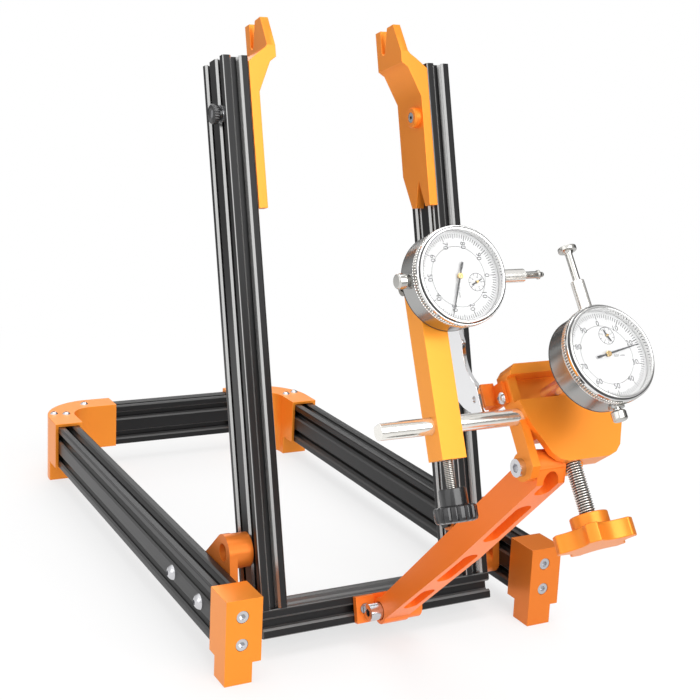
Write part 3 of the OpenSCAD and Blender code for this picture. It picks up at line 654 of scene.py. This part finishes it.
@dataclass
class Stand:
    """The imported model: its nodes, joints and bodies."""

    frame: dict[str, object]
    finishes: dict[str, bpy.types.Material] = field(default_factory=dict)

    def joint(self, name: str) -> dict[str, object]:
        """Find a joint by its name."""
        return next(j for j in self.frame["joints"] if j["name"] == name)

    def body_of(self, node: str) -> str:
        """Find the body that holds a node."""
        bodies = self.frame["record"]["behaviour"]["bodies"]
        return next(body for body, nodes in bodies.items() if node in nodes)

    def slot_of(self, node: str) -> str:
        """Find a node's material slot."""
        parts = self.frame["record"]["subparts"]
        return next(p["material_slot"] for p in parts if p["node"] == node)

    def material(self, finish: Finish) -> bpy.types.Material:
        """Give a finish's material, made once."""
        if finish.name not in self.finishes:
            self.finishes[finish.name] = finish.make()
        return self.finishes[finish.name]

    def dress(self, finish: Finish, *nodes: str) -> None:
        """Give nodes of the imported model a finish."""
        for node in nodes:
            made = self.frame["nodes"][node]
            if not made.material_slots:
                made.data.materials.append(None)
            for held in made.material_slots:
                held.material = self.material(finish)
            LOG.info("%s is finished in %s", node, finish.name)

    def machined(self, node: str, finish: Union[Anodised, BrightMetal, Moulded],
                 edge: float = 0.4 * MM, sharp: float = 38.0) -> bpy.types.Object:
        """Copy a node and break its sharp edges as a machinist does.

        Args:
            node: The node to copy and replace.
            finish: Its finish.
            edge: Width of the broken edge.
            sharp: Edges that turn more than this many degrees are broken.

        Returns:
            The new piece.
        """
        source = self.frame["nodes"][node]
        bm = bmesh.new()
        bm.from_mesh(source.data)
        bmesh.ops.remove_doubles(bm, verts=bm.verts, dist=1e-6)
        bmesh.ops.dissolve_limit(bm, angle_limit=math.radians(0.2), verts=bm.verts,
                                 edges=bm.edges)
        mesh = bpy.data.meshes.new(node + "_machined")
        bm.to_mesh(mesh)
        bm.free()
        made = bpy.data.objects.new(node + "_machined", mesh)
        enrol(made, self.body_of(node), self.material(finish), self.slot_of(node), (node,), sharp)
        bevel = made.modifiers.new("broken_edges", "BEVEL")
        bevel.width = edge
        bevel.segments = 2
        bevel.limit_method = "ANGLE"
        bevel.angle_limit = math.radians(sharp)
        bevel.use_clamp_overlap = True
        flat = made.modifiers.new("flat_faces", "WEIGHTED_NORMAL")
        flat.keep_sharp = False
        return made


# ---- Base ----


@dataclass
class Base:
    """Rails, corner brackets, feet and pivot brackets that stand on the table."""

    stand: Stand
    edge: float = 0.6 * MM

    def build(self) -> None:
        """Dress the rails and screws and machine the orange pieces."""
        stand = self.stand
        x, y, z = (1.0, 0.0, 0.0), (0.0, 1.0, 0.0), (0.0, 0.0, 1.0)
        stand.dress(SlottedRail("rail_lengthways", y, x, z, 0.15), "side_rail_left",
                    "side_rail_right")
        stand.dress(SlottedRail("rail_crossways", x, y, z, 0.15), "rear_rail")
        stand.dress(SCREW, "corner_screws", "foot_screws", "bracket_bolts", "pivot_bolts")
        stand.dress(BLACK_OXIDE, "pivot_nuts")
        for node in ("corner_bracket_left", "corner_bracket_right", "foot_left"):
            stand.machined(node, ORANGE, self.edge)
        # Painted shade: the right foot, the pivot brackets and their washers take the darker copy
        # of the orange.
        for node in ("foot_right", "pivot_bracket_left", "pivot_bracket_right"):
            stand.machined(node, SHADED_ORANGE, self.edge)
        stand.machined("pivot_washers", SHADED_ORANGE, 0.3 * MM)


# ---- Leaning frame ----


@dataclass
class LeaningFrame:
    """The forked frame with its axle plates, thumb nut and the arm's hinge."""

    stand: Stand
    lean: float = math.radians(15)
    edge: float = 0.5 * MM
    nut_radius: float = 7.4 * MM
    nut_flutes: int = 24

    def build(self) -> None:
        """Dress the rails and screws, machine the plates and mould the thumb nut."""
        stand = self.stand
        across = (1.0, 0.0, 0.0)
        back = (0.0, math.cos(self.lean), -math.sin(self.lean))
        up = (0.0, math.sin(self.lean), math.cos(self.lean))
        stand.dress(SlottedRail("rail_upright", up, across, back), "upright_left",
                    "upright_right")
        stand.dress(SlottedRail("rail_foot", across, up, back, 0.3), "cross_rail")
        stand.dress(SCREW, "upright_screws", "axle_plate_screws", "slot_nut",
                    "thumb_nut_washer", "hinge_plate_screws", "arm_hinge_bolt")
        for node in ("axle_plate_left", "axle_plate_right"):
            stand.machined(node, ORANGE, self.edge)
        # Painted shade: the hinge plate takes the redder copy of the orange.
        stand.machined("arm_hinge_plate", SHADED_ARM_ORANGE, self.edge)
        stand.machined("cup_washer", KNOB_ORANGE, 0.3 * MM)
        self.thumb_nut()

    def thumb_nut(self) -> bpy.types.Object:
        """Mould the fluted black nut that holds the left axle plate."""
        joint = self.stand.joint("thumb_nut_turn")
        low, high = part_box("thumb_nut")
        outward = unit(joint["axis"])
        start = Vector(joint["pos_m"])
        start.x = high.x
        blank = Blank(upon(start, outward))
        length = high.x - low.x
        r = self.nut_radius
        bore = 3.05 * MM
        profile = [(bore, 0), (5.2 * MM, 0), (5.5 * MM, 0.3 * MM), (5.5 * MM, 2.0 * MM),
                   (r - 0.7 * MM, 2.0 * MM), (r, 2.7 * MM), (r, length - 1.0 * MM),
                   (r - 0.9 * MM, length), (bore + 1.2 * MM, length), (bore, length - 0.6 * MM)]

        def flute(i: int, a: float) -> float:
            """Sink a flute in the rim's points."""
            return -0.45 * MM * (0.5 + 0.5 * math.cos(a * self.nut_flutes)) if i in (5, 6) else 0.0

        blank.turn(profile, self.nut_flutes * 8, True, flute)
        return blank.piece("thumb_nut_moulding", "thumb_nut", self.stand.material(BLACK_KNOB),
                           "knob", ("thumb_nut",))


# ---- Arm and carriage ----


@dataclass
class Thread:
    """A cut screw thread as long as its node."""

    node: str
    body: str
    joint: str
    radius: float
    pitch: float
    depth: float = 0.6
    rows: int = 8
    columns: int = 40

    def build(self, stand: Stand) -> bpy.types.Object:
        """Cut the helix and replace the node's plain shaft."""
        joint = stand.joint(self.joint)
        axis = unit(joint["axis"])
        mesh = stand.frame["nodes"][self.node].data
        origin = Vector(joint["pos_m"])
        heights = [(v.co - origin).dot(axis) for v in mesh.vertices]
        low, high = min(heights), max(heights)
        blank = Blank(upon(origin, axis))
        count = int((high - low) / self.pitch * self.rows)
        cut = self.depth * self.pitch
        rings = []
        for row in range(count + 1):
            z = low + (high - low) * row / count
            ends = min(1.0, (z - low) / self.pitch, (high - z) / self.pitch)
            ring = []
            for column in range(self.columns):
                a = 2 * math.pi * column / self.columns
                phase = (z / self.pitch - a / (2 * math.pi)) % 1.0
                crest = min(1.0, max(0.0, 1.35 - 3.1 * abs(phase - 0.5)))
                r = self.radius - cut * (1.0 - crest * max(0.0, ends))
                ring.append((r * math.cos(a), r * math.sin(a), z))
            rings.append(blank.ring(ring))
        blank.skin(rings, False)
        # The thread's finish paints its grooves dark and its crests bright: painted shade and
        # highlight.
        finish = CutThread(self.node + "_finish", tuple(axis), tuple(origin),
                           self.radius - cut, self.radius)
        return blank.piece(self.node + "_thread", self.body, stand.material(finish), "thread",
                           (self.node,), 30.0)


@dataclass
class Carriage:
    """The slotted arm and the block at its end, with its clamp, rod and bar."""

    stand: Stand
    edge: float = 0.6 * MM
    knob_flutes: int = 16

    def build(self) -> None:
        """Machine the arm, block and bar, cut the threads and mould the bar's knob."""
        stand = self.stand
        # Painted shade: the arm takes the redder copy of the orange.
        stand.machined("slotted_arm", SHADED_ARM_ORANGE, self.edge)
        stand.machined("carriage_block", ORANGE, self.edge)
        # Painted shade: the feeler holder takes the darker copy of the orange.
        stand.machined("feeler_holder", SHADED_ORANGE, self.edge)
        stand.machined("star_knob", KNOB_ORANGE, 0.7 * MM, 25.0)
        # Painted light: the gauge bar takes the lighter copy of the orange.
        stand.machined("gauge_bar", LIT_BAR_ORANGE, 0.5 * MM)
        stand.dress(SCREW, "carriage_bolt", "gauge_post_screw", "feeler_screw")
        stand.dress(LUG_STEEL, "lug_bolt")
        stand.machined("cross_rod", ROD, 0.5 * MM, 60.0)
        stand.machined("gauge_post", ROD, 0.4 * MM)
        stand.machined("feeler_plate", BLADE, 0.25 * MM)
        stand.dress(BRASS, "clamp_pad", "bar_pad")
        Thread("clamp_screw", "star_knob", "star_knob_turn", 5.0 * MM, 1.5 * MM).build(stand)
        Thread("bar_screw", "bar_knob", "bar_knob_turn", 3.0 * MM, 1.0 * MM).build(stand)
        self.bar_knob()

    def bar_knob(self) -> bpy.types.Object:
        """Mould the black knob under the gauge bar."""
        joint = self.stand.joint("bar_knob_turn")
        axis = unit(joint["axis"])
        origin = Vector(joint["pos_m"])
        mesh = self.stand.frame["nodes"]["bar_knob"].data
        heights = [(v.co - origin).dot(axis) for v in mesh.vertices]
        low, high = min(heights), max(heights)
        blank = Blank(upon(origin + axis * low, axis))
        tall = high - low
        hub, rim = 8.2 * MM, 12.6 * MM
        shoulder = tall - 9.5 * MM
        profile = [(0.01 * MM, 0.4 * MM), (3.3 * MM, 0.4 * MM), (3.6 * MM, 0), (hub - 1.2 * MM, 0),
                   (hub - 0.3 * MM, 0.3 * MM), (hub, 1.2 * MM), (hub, shoulder - 0.4 * MM),
                   (hub + 0.6 * MM, shoulder), (rim - 1.6 * MM, shoulder),
                   (rim - 0.4 * MM, shoulder + 0.5 * MM), (rim, shoulder + 1.6 * MM),
                   (rim, tall - 2.2 * MM), (rim - 0.5 * MM, tall - 0.9 * MM),
                   (rim - 2.2 * MM, tall - 0.1 * MM), (rim - 4.0 * MM, tall),
                   (rim - 4.6 * MM, tall - 0.5 * MM), (0.01 * MM, tall - 0.5 * MM)]

        def flute(i: int, a: float) -> float:
            """Sink a flute in the rim's points."""
            if not 8 <= i <= 13:
                return 0.0
            return -0.9 * MM * max(0.0, math.cos(a * self.knob_flutes)) ** 2

        blank.turn(profile, self.knob_flutes * 12, False, flute)
        return blank.piece("bar_knob_moulding", "bar_knob", self.stand.material(BLACK_KNOB),
                           "knob", ("bar_knob",))


# ---- Dial gauges ----


@dataclass
class DialGauge:
    """One dial gauge, drawn in its own frame: face towards -Y and stem along +Z."""

    stand: Stand
    side: Side
    reading: float
    bezel_radius: float = 29.5 * MM
    bezel_depth: float = 8.0 * MM
    opening: float = 26.2 * MM
    ring_inner: float = 17.8 * MM
    dial_depth: float = 6.0 * MM
    counter: tuple[float, float] = (3.7 * MM, 11.4 * MM)
    counter_radius: float = 5.2 * MM
    knurls: int = 110
    graduations: int = 100

    def __post_init__(self) -> None:
        """Find the gauge's own frame from its joints."""
        name = self.side.value
        turn = self.stand.joint(f"{name}_pointer_turn")
        travel = self.stand.joint(f"{name}_plunger_travel")
        back = unit(turn["axis"])
        stem = -unit(travel["axis"])
        face = Vector(turn["pos_m"]) - back * 4.0 * MM
        self.frame = axes(face, back.cross(stem), back, stem)
        # For turned work: Z runs back through the dial, Y away from the stem
        self.lathe = axes(face, back.cross(stem), -stem, back)

    def piece(self, blank: Blank, part: str, body: str, finish: bpy.types.Material, slot: str,
              replaced: Sequence[str] = (), smooth: float = 35.0) -> bpy.types.Object:
        """Finish one of the gauge's pieces, named and carried after its side."""
        name = self.side.value
        return blank.piece(f"{name}_{part}", body, finish, slot,
                           [f"{name}_{node}" for node in replaced], smooth)

    def build(self) -> None:
        """Dress the case and dial, turn the bezel, print the dial and set the hands."""
        stand, name = self.stand, self.side.value
        finish = CaseMetal(f"{name}_case_finish", tuple(self.frame.translation),
                           tuple(self.frame.col[2][:3]))
        stand.machined(f"{name}_case", finish, 0.3 * MM)
        stand.dress(DIAL_WHITE, f"{name}_dial")
        stand.dress(CRYSTAL, f"{name}_crystal")
        stand.machined(f"{name}_plunger", PLUNGER, 0.3 * MM)
        self.bezel()
        self.knurling()
        self.seals()
        self.outer_dial()
        self.print_outer()
        self.print_centre()
        self.long_hand()
        self.short_hand()

    def bezel(self) -> bpy.types.Object:
        """Turn the bezel's ring with its knurled band."""
        r, d = self.bezel_radius, self.bezel_depth
        inner = r - 3.8 * MM
        rim = r - 1.6 * MM
        profile = [(self.opening, 1.2 * MM), (self.opening, 0.6 * MM),
                   (self.opening + 0.3 * MM, 0.15 * MM), (self.opening + 0.8 * MM, 0.0),
                   (rim - 0.3 * MM, 0.15 * MM), (rim, 0.6 * MM), (rim, 1.7 * MM),
                   (r - 0.6 * MM, 1.7 * MM), (r - 0.3 * MM, 2.1 * MM), (r - 0.3 * MM, 3.6 * MM),
                   (r - 0.8 * MM, 3.9 * MM), (r - 0.8 * MM, 7.6 * MM),
                   (r - 0.5 * MM, 7.7 * MM), (r - 0.5 * MM, d), (inner, d), (inner, 6.9 * MM),
                   (self.opening + 0.7 * MM, 6.9 * MM), (self.opening + 0.7 * MM, 1.2 * MM)]
        blank = Blank(self.lathe)
        blank.turn(profile, 180, True)
        return self.piece(blank, "bezel_ring", f"{self.side.value}_bezel",
                          self.stand.material(CHROME), "case", ("bezel",))

    def knurling(self) -> bpy.types.Object:
        """Cut the fine straight ridges of the bezel's band."""
        r = self.bezel_radius

        def ridge(i: int, a: float) -> float:
            """Sink the grooves between the ridges."""
            if i not in (1, 2):
                return 0.0
            return -0.75 * MM * (0.5 + 0.5 * math.cos(a * self.knurls))

        blank = Blank(self.lathe)
        blank.turn([(r - 0.85 * MM, 4.3 * MM), (r - 0.05 * MM, 4.5 * MM),
                    (r - 0.05 * MM, 7.3 * MM), (r - 0.85 * MM, 7.5 * MM)],
                   self.knurls * 6, True, ridge)
        # The knurls' finish paints their grooves dark and their ridges bright: painted shade and
        # highlight.
        axis = tuple(self.lathe.col[2][:3])
        finish = CutThread(f"{self.side.value}_knurling", axis, tuple(self.frame.translation),
                           r - 1.05 * MM, r - 0.15 * MM)
        return self.piece(blank, "bezel_knurling", f"{self.side.value}_bezel",
                          self.stand.material(finish), "case")

    def seals(self) -> None:
        """Set a black ring under the bezel's rim, a painted shadow standing in for the shade line
        there, and a black ring round the back of the case.
        """
        rim, case = self.bezel_radius - 1.57 * MM, self.bezel_radius - 0.8 * MM
        # Painted shadow: a black ring under the bezel's rim, standing in for the shade line there.
        front = Blank(self.lathe)
        front.turn([(rim, 1.66 * MM), (rim, 0.72 * MM), (rim + 0.4 * MM, 1.0 * MM),
                    (rim + 0.4 * MM, 1.66 * MM)], 120, True)
        self.piece(front, "rim_seal", f"{self.side.value}_bezel",
                   self.stand.material(HAND_BLACK), "hand")
        back = Blank(self.lathe)
        back.turn([(case - 0.2 * MM, 21.9 * MM), (case - 0.2 * MM, 21.2 * MM),
                   (case + 0.12 * MM, 21.3 * MM), (case + 0.12 * MM, 21.8 * MM)], 120, True)
        self.piece(back, "back_seal", self.stand.body_of(f"{self.side.value}_case"),
                   self.stand.material(HAND_BLACK), "hand")

    def outer_dial(self) -> bpy.types.Object:
        """Make the white ring that turns with the bezel."""
        blank = Blank(self.lathe)
        outer = self.opening + 0.6 * MM
        top, low = self.dial_depth, self.dial_depth + 0.6 * MM
        blank.turn([(self.ring_inner, low), (self.ring_inner, top), (outer, top), (outer, low)],
                   120, True)
        return self.piece(blank, "dial_ring", f"{self.side.value}_bezel",
                          self.stand.material(DIAL_WHITE), "dial")

    def polar(self, radius: float, turns: float) -> tuple[float, float]:
        """Give a point on the dial, with turns counted clockwise from the stem."""
        a = 2 * math.pi * turns
        return radius * math.sin(a), radius * math.cos(a)

    def mark(self, blank: Blank, inner: float, outer: float, turns: float, width: float,
             centre: tuple[float, float] = (0.0, 0.0)) -> None:
        """Print one graduation.

        Args:
            blank: The print to add to.
            inner: Radius where it starts.
            outer: Radius where it ends.
            turns: Its place round the dial.
            width: Its width.
            centre: Where the small dial's centre lies, across and up from the hub.
        """
        across = self.polar(width / 2, turns + 0.25)
        corners = []
        for radius, sign in ((inner, -1), (outer, -1), (outer, 1), (inner, 1)):
            x, z = self.polar(radius, turns)
            corners.append((x + sign * across[0] + centre[0], self.ink_level,
                            z + sign * across[1] + centre[1]))
        blank.bm.faces.new(blank.ring(corners))

    def circle(self, blank: Blank, radius: float, width: float,
               centre: tuple[float, float] = (0.0, 0.0)) -> None:
        """Print a thin circle. Arguments are as in mark."""
        steps = 96
        rings = []
        for r in (radius - width / 2, radius + width / 2):
            points = [self.polar(r, k / steps) for k in range(steps)]
            rings.append(blank.ring([(x + centre[0], self.ink_level, z + centre[1])
                                     for x, z in points]))
        for k in range(steps):
            j = (k + 1) % steps
            blank.bm.faces.new((rings[0][k], rings[0][j], rings[1][j], rings[1][k]))

    def digits(self, blank: Blank, text: str, radius: float, turns: float, height: float,
               centre: tuple[float, float] = (0.0, 0.0)) -> None:
        """Print a number upright, its middle on a circle. Arguments are as in mark."""
        x, z = self.polar(radius, turns)
        mesh = numeral(text, height)
        stand_up = Matrix.Rotation(math.radians(90), 4, "X")
        place = (x + centre[0], self.ink_level, z + centre[1])
        blank.adopt(mesh, Matrix.Translation(place) @ stand_up)
        bpy.data.meshes.remove(mesh)

    @property
    def ink_level(self) -> float:
        """Depth at which the print lies, just proud of the dial."""
        return self.dial_depth - 0.03 * MM

    def print_outer(self) -> bpy.types.Object:
        """Print the graduations and numbers on the ring that turns with the bezel."""
        blank = Blank(self.frame)
        rim = self.opening - 1.1 * MM
        tens, fives, ones = (3.6, 0.42), (3.0, 0.36), (2.4, 0.32)
        for k in range(self.graduations):
            long, width = tens if k % 10 == 0 else fives if k % 5 == 0 else ones
            self.mark(blank, rim - long * MM, rim, k / self.graduations, width * MM)
        for k in range(10):
            self.digits(blank, str(10 * k), rim - 6.1 * MM, k / 10, 3.2 * MM)
        return self.piece(blank, "ring_print", f"{self.side.value}_bezel",
                          self.stand.material(DIAL_INK), "dial")

    def print_centre(self) -> bpy.types.Object:
        """Print the small dial on the centre that stays still."""
        blank = Blank(self.frame)
        self.circle(blank, self.ring_inner - 0.25 * MM, 0.16 * MM)
        self.circle(blank, self.counter_radius, 0.32 * MM, self.counter)
        for k in range(10):
            self.mark(blank, self.counter_radius - 1.4 * MM, self.counter_radius, k / 10,
                      0.28 * MM, self.counter)
        for k in range(0, 10, 2):
            self.digits(blank, str(k), self.counter_radius - 2.2 * MM, k / 10, 1.2 * MM,
                        self.counter)
        self.digits(blank, "0.01 mm", 8.5 * MM, 0.27, 1.5 * MM)
        return self.piece(blank, "centre_print", self.stand.body_of(f"{self.side.value}_dial"),
                          self.stand.material(DIAL_INK), "dial")

    def hand(self, part: str, body: str, outline: Sequence[tuple[float, float]], level: float,
             angle: float, centre: tuple[float, float], hub: float, node: str) -> None:
        """Cut a hand and press its hub on.

        Args:
            part: The hand's name.
            body: The body it turns with.
            outline: Half of the hand from tail to tip, as half width and distance.
            level: Depth of its front behind the bezel's front.
            angle: Its angle from the stem, clockwise, in degrees.
            centre: Where its arbor lies, across and up from the hub.
            hub: Radius of its hub.
            node: The solid it replaces.
        """
        arbor = Matrix.Translation((centre[0], 0, centre[1]))
        turn = arbor @ Matrix.Rotation(math.radians(angle), 4, "Y")
        flat = Matrix.Rotation(math.radians(90), 4, "X")
        blank = Blank(self.frame @ turn @ flat)
        points = [(-w, z) for w, z in outline] + [(w, z) for w, z in reversed(outline)]
        blank.prism(points, -level - 0.28 * MM, -level)
        self.piece(blank, part, body, self.stand.material(HAND_BLACK), "hand", (node,))
        boss = Blank(self.lathe @ Matrix.Translation((centre[0], -centre[1], 0)))
        front = level - 0.75 * MM
        boss.turn([(0.01 * MM, front + 0.25 * MM), (hub * 0.35, front + 0.2 * MM),
                   (hub * 0.4, front), (hub * 0.85, front), (hub, front + 0.2 * MM),
                   (hub, level + 0.4 * MM), (0.9 * hub, level + 0.5 * MM),
                   (0.01 * MM, level + 0.5 * MM)], 48)
        self.piece(boss, part + "_hub", body, self.stand.material(BRASS), "hand")

    def long_hand(self) -> None:
        """Make the long hand with its blunt tail."""
        shape = [(0.75 * MM, -8.5 * MM), (0.75 * MM, -6.0 * MM), (0.42 * MM, -3.4 * MM),
                 (0.60 * MM, 1.5 * MM), (0.46 * MM, 12 * MM), (0.16 * MM, 23.4 * MM)]
        self.hand("hand", f"{self.side.value}_pointer", shape, 4.25 * MM, self.reading,
                  (0.0, 0.0), 1.75 * MM, "pointer")

    def short_hand(self) -> None:
        """Make the small dial's hand."""
        shape = [(0.42 * MM, -3.9 * MM), (0.42 * MM, -0.5 * MM), (0.36 * MM, 1.5 * MM),
                 (0.14 * MM, 4.2 * MM)]
        self.hand("small_hand", f"{self.side.value}_counter", shape, 5.2 * MM, -25.0,
                  self.counter, 0.75 * MM, "counter")


# ---- Studio ----


@dataclass
class Studio:
    """Camera, lamps, pale floor and white surroundings."""

    base_middle: float = 147.7 * MM
    eye: tuple[float, float, float] = (-446.6 * MM, -744.3 * MM, 427.2 * MM)
    turn: float = 28.509
    down: float = 11.155
    roll: float = 2.794
    lens: float = 66.887
    shift: tuple[float, float] = (-0.0214, -0.0714)

    def build(self) -> None:
        """Set up the whole studio."""
        self.camera()
        self.world()
        self.floor()
        for name, place, size, power in (
                ("key", (0.2, -2.2, 1.3), 2.2, 50.0),
                ("fill", (-2.1, -0.6, 0.9), 1.6, 6.0),
                ("top", (0.1, 0.2, 2.4), 1.8, 22.0),
                ("rim", (0.6, 2.0, 1.3), 1.2, 10.0)):
            self.lamp(name, place, size, power)

    def camera(self) -> None:
        """Place the camera where the photograph was taken."""
        data = bpy.data.cameras.new("camera")
        data.lens, data.sensor_width = self.lens, 36.0
        data.shift_x, data.shift_y = self.shift
        data.clip_start, data.clip_end = 0.05, 30.0
        yaw, pitch, roll = (math.radians(v) for v in (self.turn, self.down, self.roll))
        ahead = Vector((math.sin(yaw) * math.cos(pitch), math.cos(yaw) * math.cos(pitch),
                        -math.sin(pitch)))
        right = Vector((math.cos(yaw), -math.sin(yaw), 0.0))
        up = right.cross(ahead)
        across = math.cos(roll) * right + math.sin(roll) * up
        upward = -math.sin(roll) * right + math.cos(roll) * up
        made = bpy.data.objects.new("camera", data)
        x, y, z = self.eye
        made.matrix_world = axes((x, y - self.base_middle, z), across, upward, -ahead)
        bpy.context.scene.collection.objects.link(made)
        bpy.context.scene.camera = made

    def lamp(self, name: str, place: Sequence[float], size: float, power: float) -> None:
        """Hang a square soft lamp that faces the middle of the stand."""
        data = bpy.data.lights.new(name, "AREA")
        data.energy, data.size = power, size
        made = bpy.data.objects.new(name, data)
        made.location = place
        made.rotation_mode = "QUATERNION"
        aim = Vector((0.0, -0.05, 0.18)) - Vector(place)
        made.rotation_quaternion = aim.to_track_quat("-Z", "Y")
        bpy.context.scene.collection.objects.link(made)

    def world(self) -> None:
        """Light softly from all round, brighter from the left, with white behind the stand."""
        world = bpy.data.worlds.new("studio")
        world.use_nodes = True
        world.node_tree.nodes.clear()
        g = Graph.__new__(Graph)
        g.tree = world.node_tree
        towards = g.node("ShaderNodeTexCoord", {}, {}, "Generated")
        left = g.along(towards, (-0.925, 0.0925, 0.37)).step(-0.7, 0.9)
        camera, glossy, clear = self.rays(g)
        seen = camera + clear
        over = g.along(towards, (0.0, -0.25, 0.97)).step(0.25, 0.8)
        behind = g.along(towards, (0.46, 0.86, -0.2)).step(0.55, 0.9)
        mirrored = (0.10 + 0.75 * left + 0.45 * over) * (1.0 - 0.85 * behind)
        level = seen + (1.0 - seen) * (glossy * mirrored + (1.0 - glossy) * (0.50 + 0.10 * left))
        light = g.node("ShaderNodeBackground", {}, {"Color": g.joined(level, level, level)})
        end = g.tree.nodes.new("ShaderNodeOutputWorld")
        g.tree.links.new(light.socket, end.inputs["Surface"])
        bpy.context.scene.world = world

    def rays(self, g: Graph) -> tuple[Wire, Wire, Wire]:
        """Tell camera, glossy and transmission rays apart."""
        paths = g.tree.nodes.new("ShaderNodeLightPath")
        return tuple(Wire(g, paths.outputs[name])
                     for name in ("Is Camera Ray", "Is Glossy Ray", "Is Transmission Ray"))

    def floor(self) -> None:
        """Lay a plain pale floor that keeps the stand's soft shadow near the stand."""
        reach = 9.0
        mesh = bpy.data.meshes.new("floor")
        corners = [(-reach, -reach, 0), (reach, -reach, 0), (reach, reach, 0), (-reach, reach, 0)]
        mesh.from_pydata(corners, [], [(0, 1, 2, 3)])
        made = bpy.data.objects.new("floor", mesh)
        bpy.context.scene.collection.objects.link(made)
        g = Graph("floor")
        material = g.surface(Base_Color=(0.86, 0.86, 0.86), Roughness=0.8)
        place = g.place()
        distance = g.reach(place)
        camera, glossy, clear = self.rays(g)
        share = 0.70 + 0.30 * distance.step(0.35, 0.95)
        left = 0.12 + 0.88 * g.along(place, (-0.99, 0.10, 0.0)).step(-1.2, 0.3)
        left = left * (1.0 - 0.80 * g.along(place, (0.46, 0.89, 0.0)).step(0.25, 1.1))
        glow = g.node("ShaderNodeEmission", {},
                      {"Color": g.blend(glossy, (1.0, 1.0, 1.0), g.joined(left, left, left))})
        lit = Wire(g, g.shader.outputs[0])
        mix = g.node("ShaderNodeMixShader", {},
                     {0: (camera + clear) * share + glossy * 0.9, 1: lit, 2: glow})
        g.tree.links.new(mix.socket, g.tree.nodes["Material Output"].inputs["Surface"])
        mesh.materials.append(material)
        made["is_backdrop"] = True


def corners() -> list[list[float]]:
    """Give the shown object's lowest and highest corner."""
    return [list(corner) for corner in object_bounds()]


def main() -> None:
    """Build the stand's looks and the studio round it."""
    logging.basicConfig(level=logging.INFO, format="%(name)s: %(message)s")
    stand = Stand(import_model())
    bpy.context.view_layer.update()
    view = bpy.context.scene.view_settings
    view.view_transform = "Standard"
    Studio().build()
    Base(stand).build()
    LeaningFrame(stand).build()
    Carriage(stand).build()
    DialGauge(stand, Side.LEFT, 110.0).build()
    DialGauge(stand, Side.RIGHT, 79.0).build()
    bpy.context.view_layer.update()


if __name__ == "__main__":
    main()
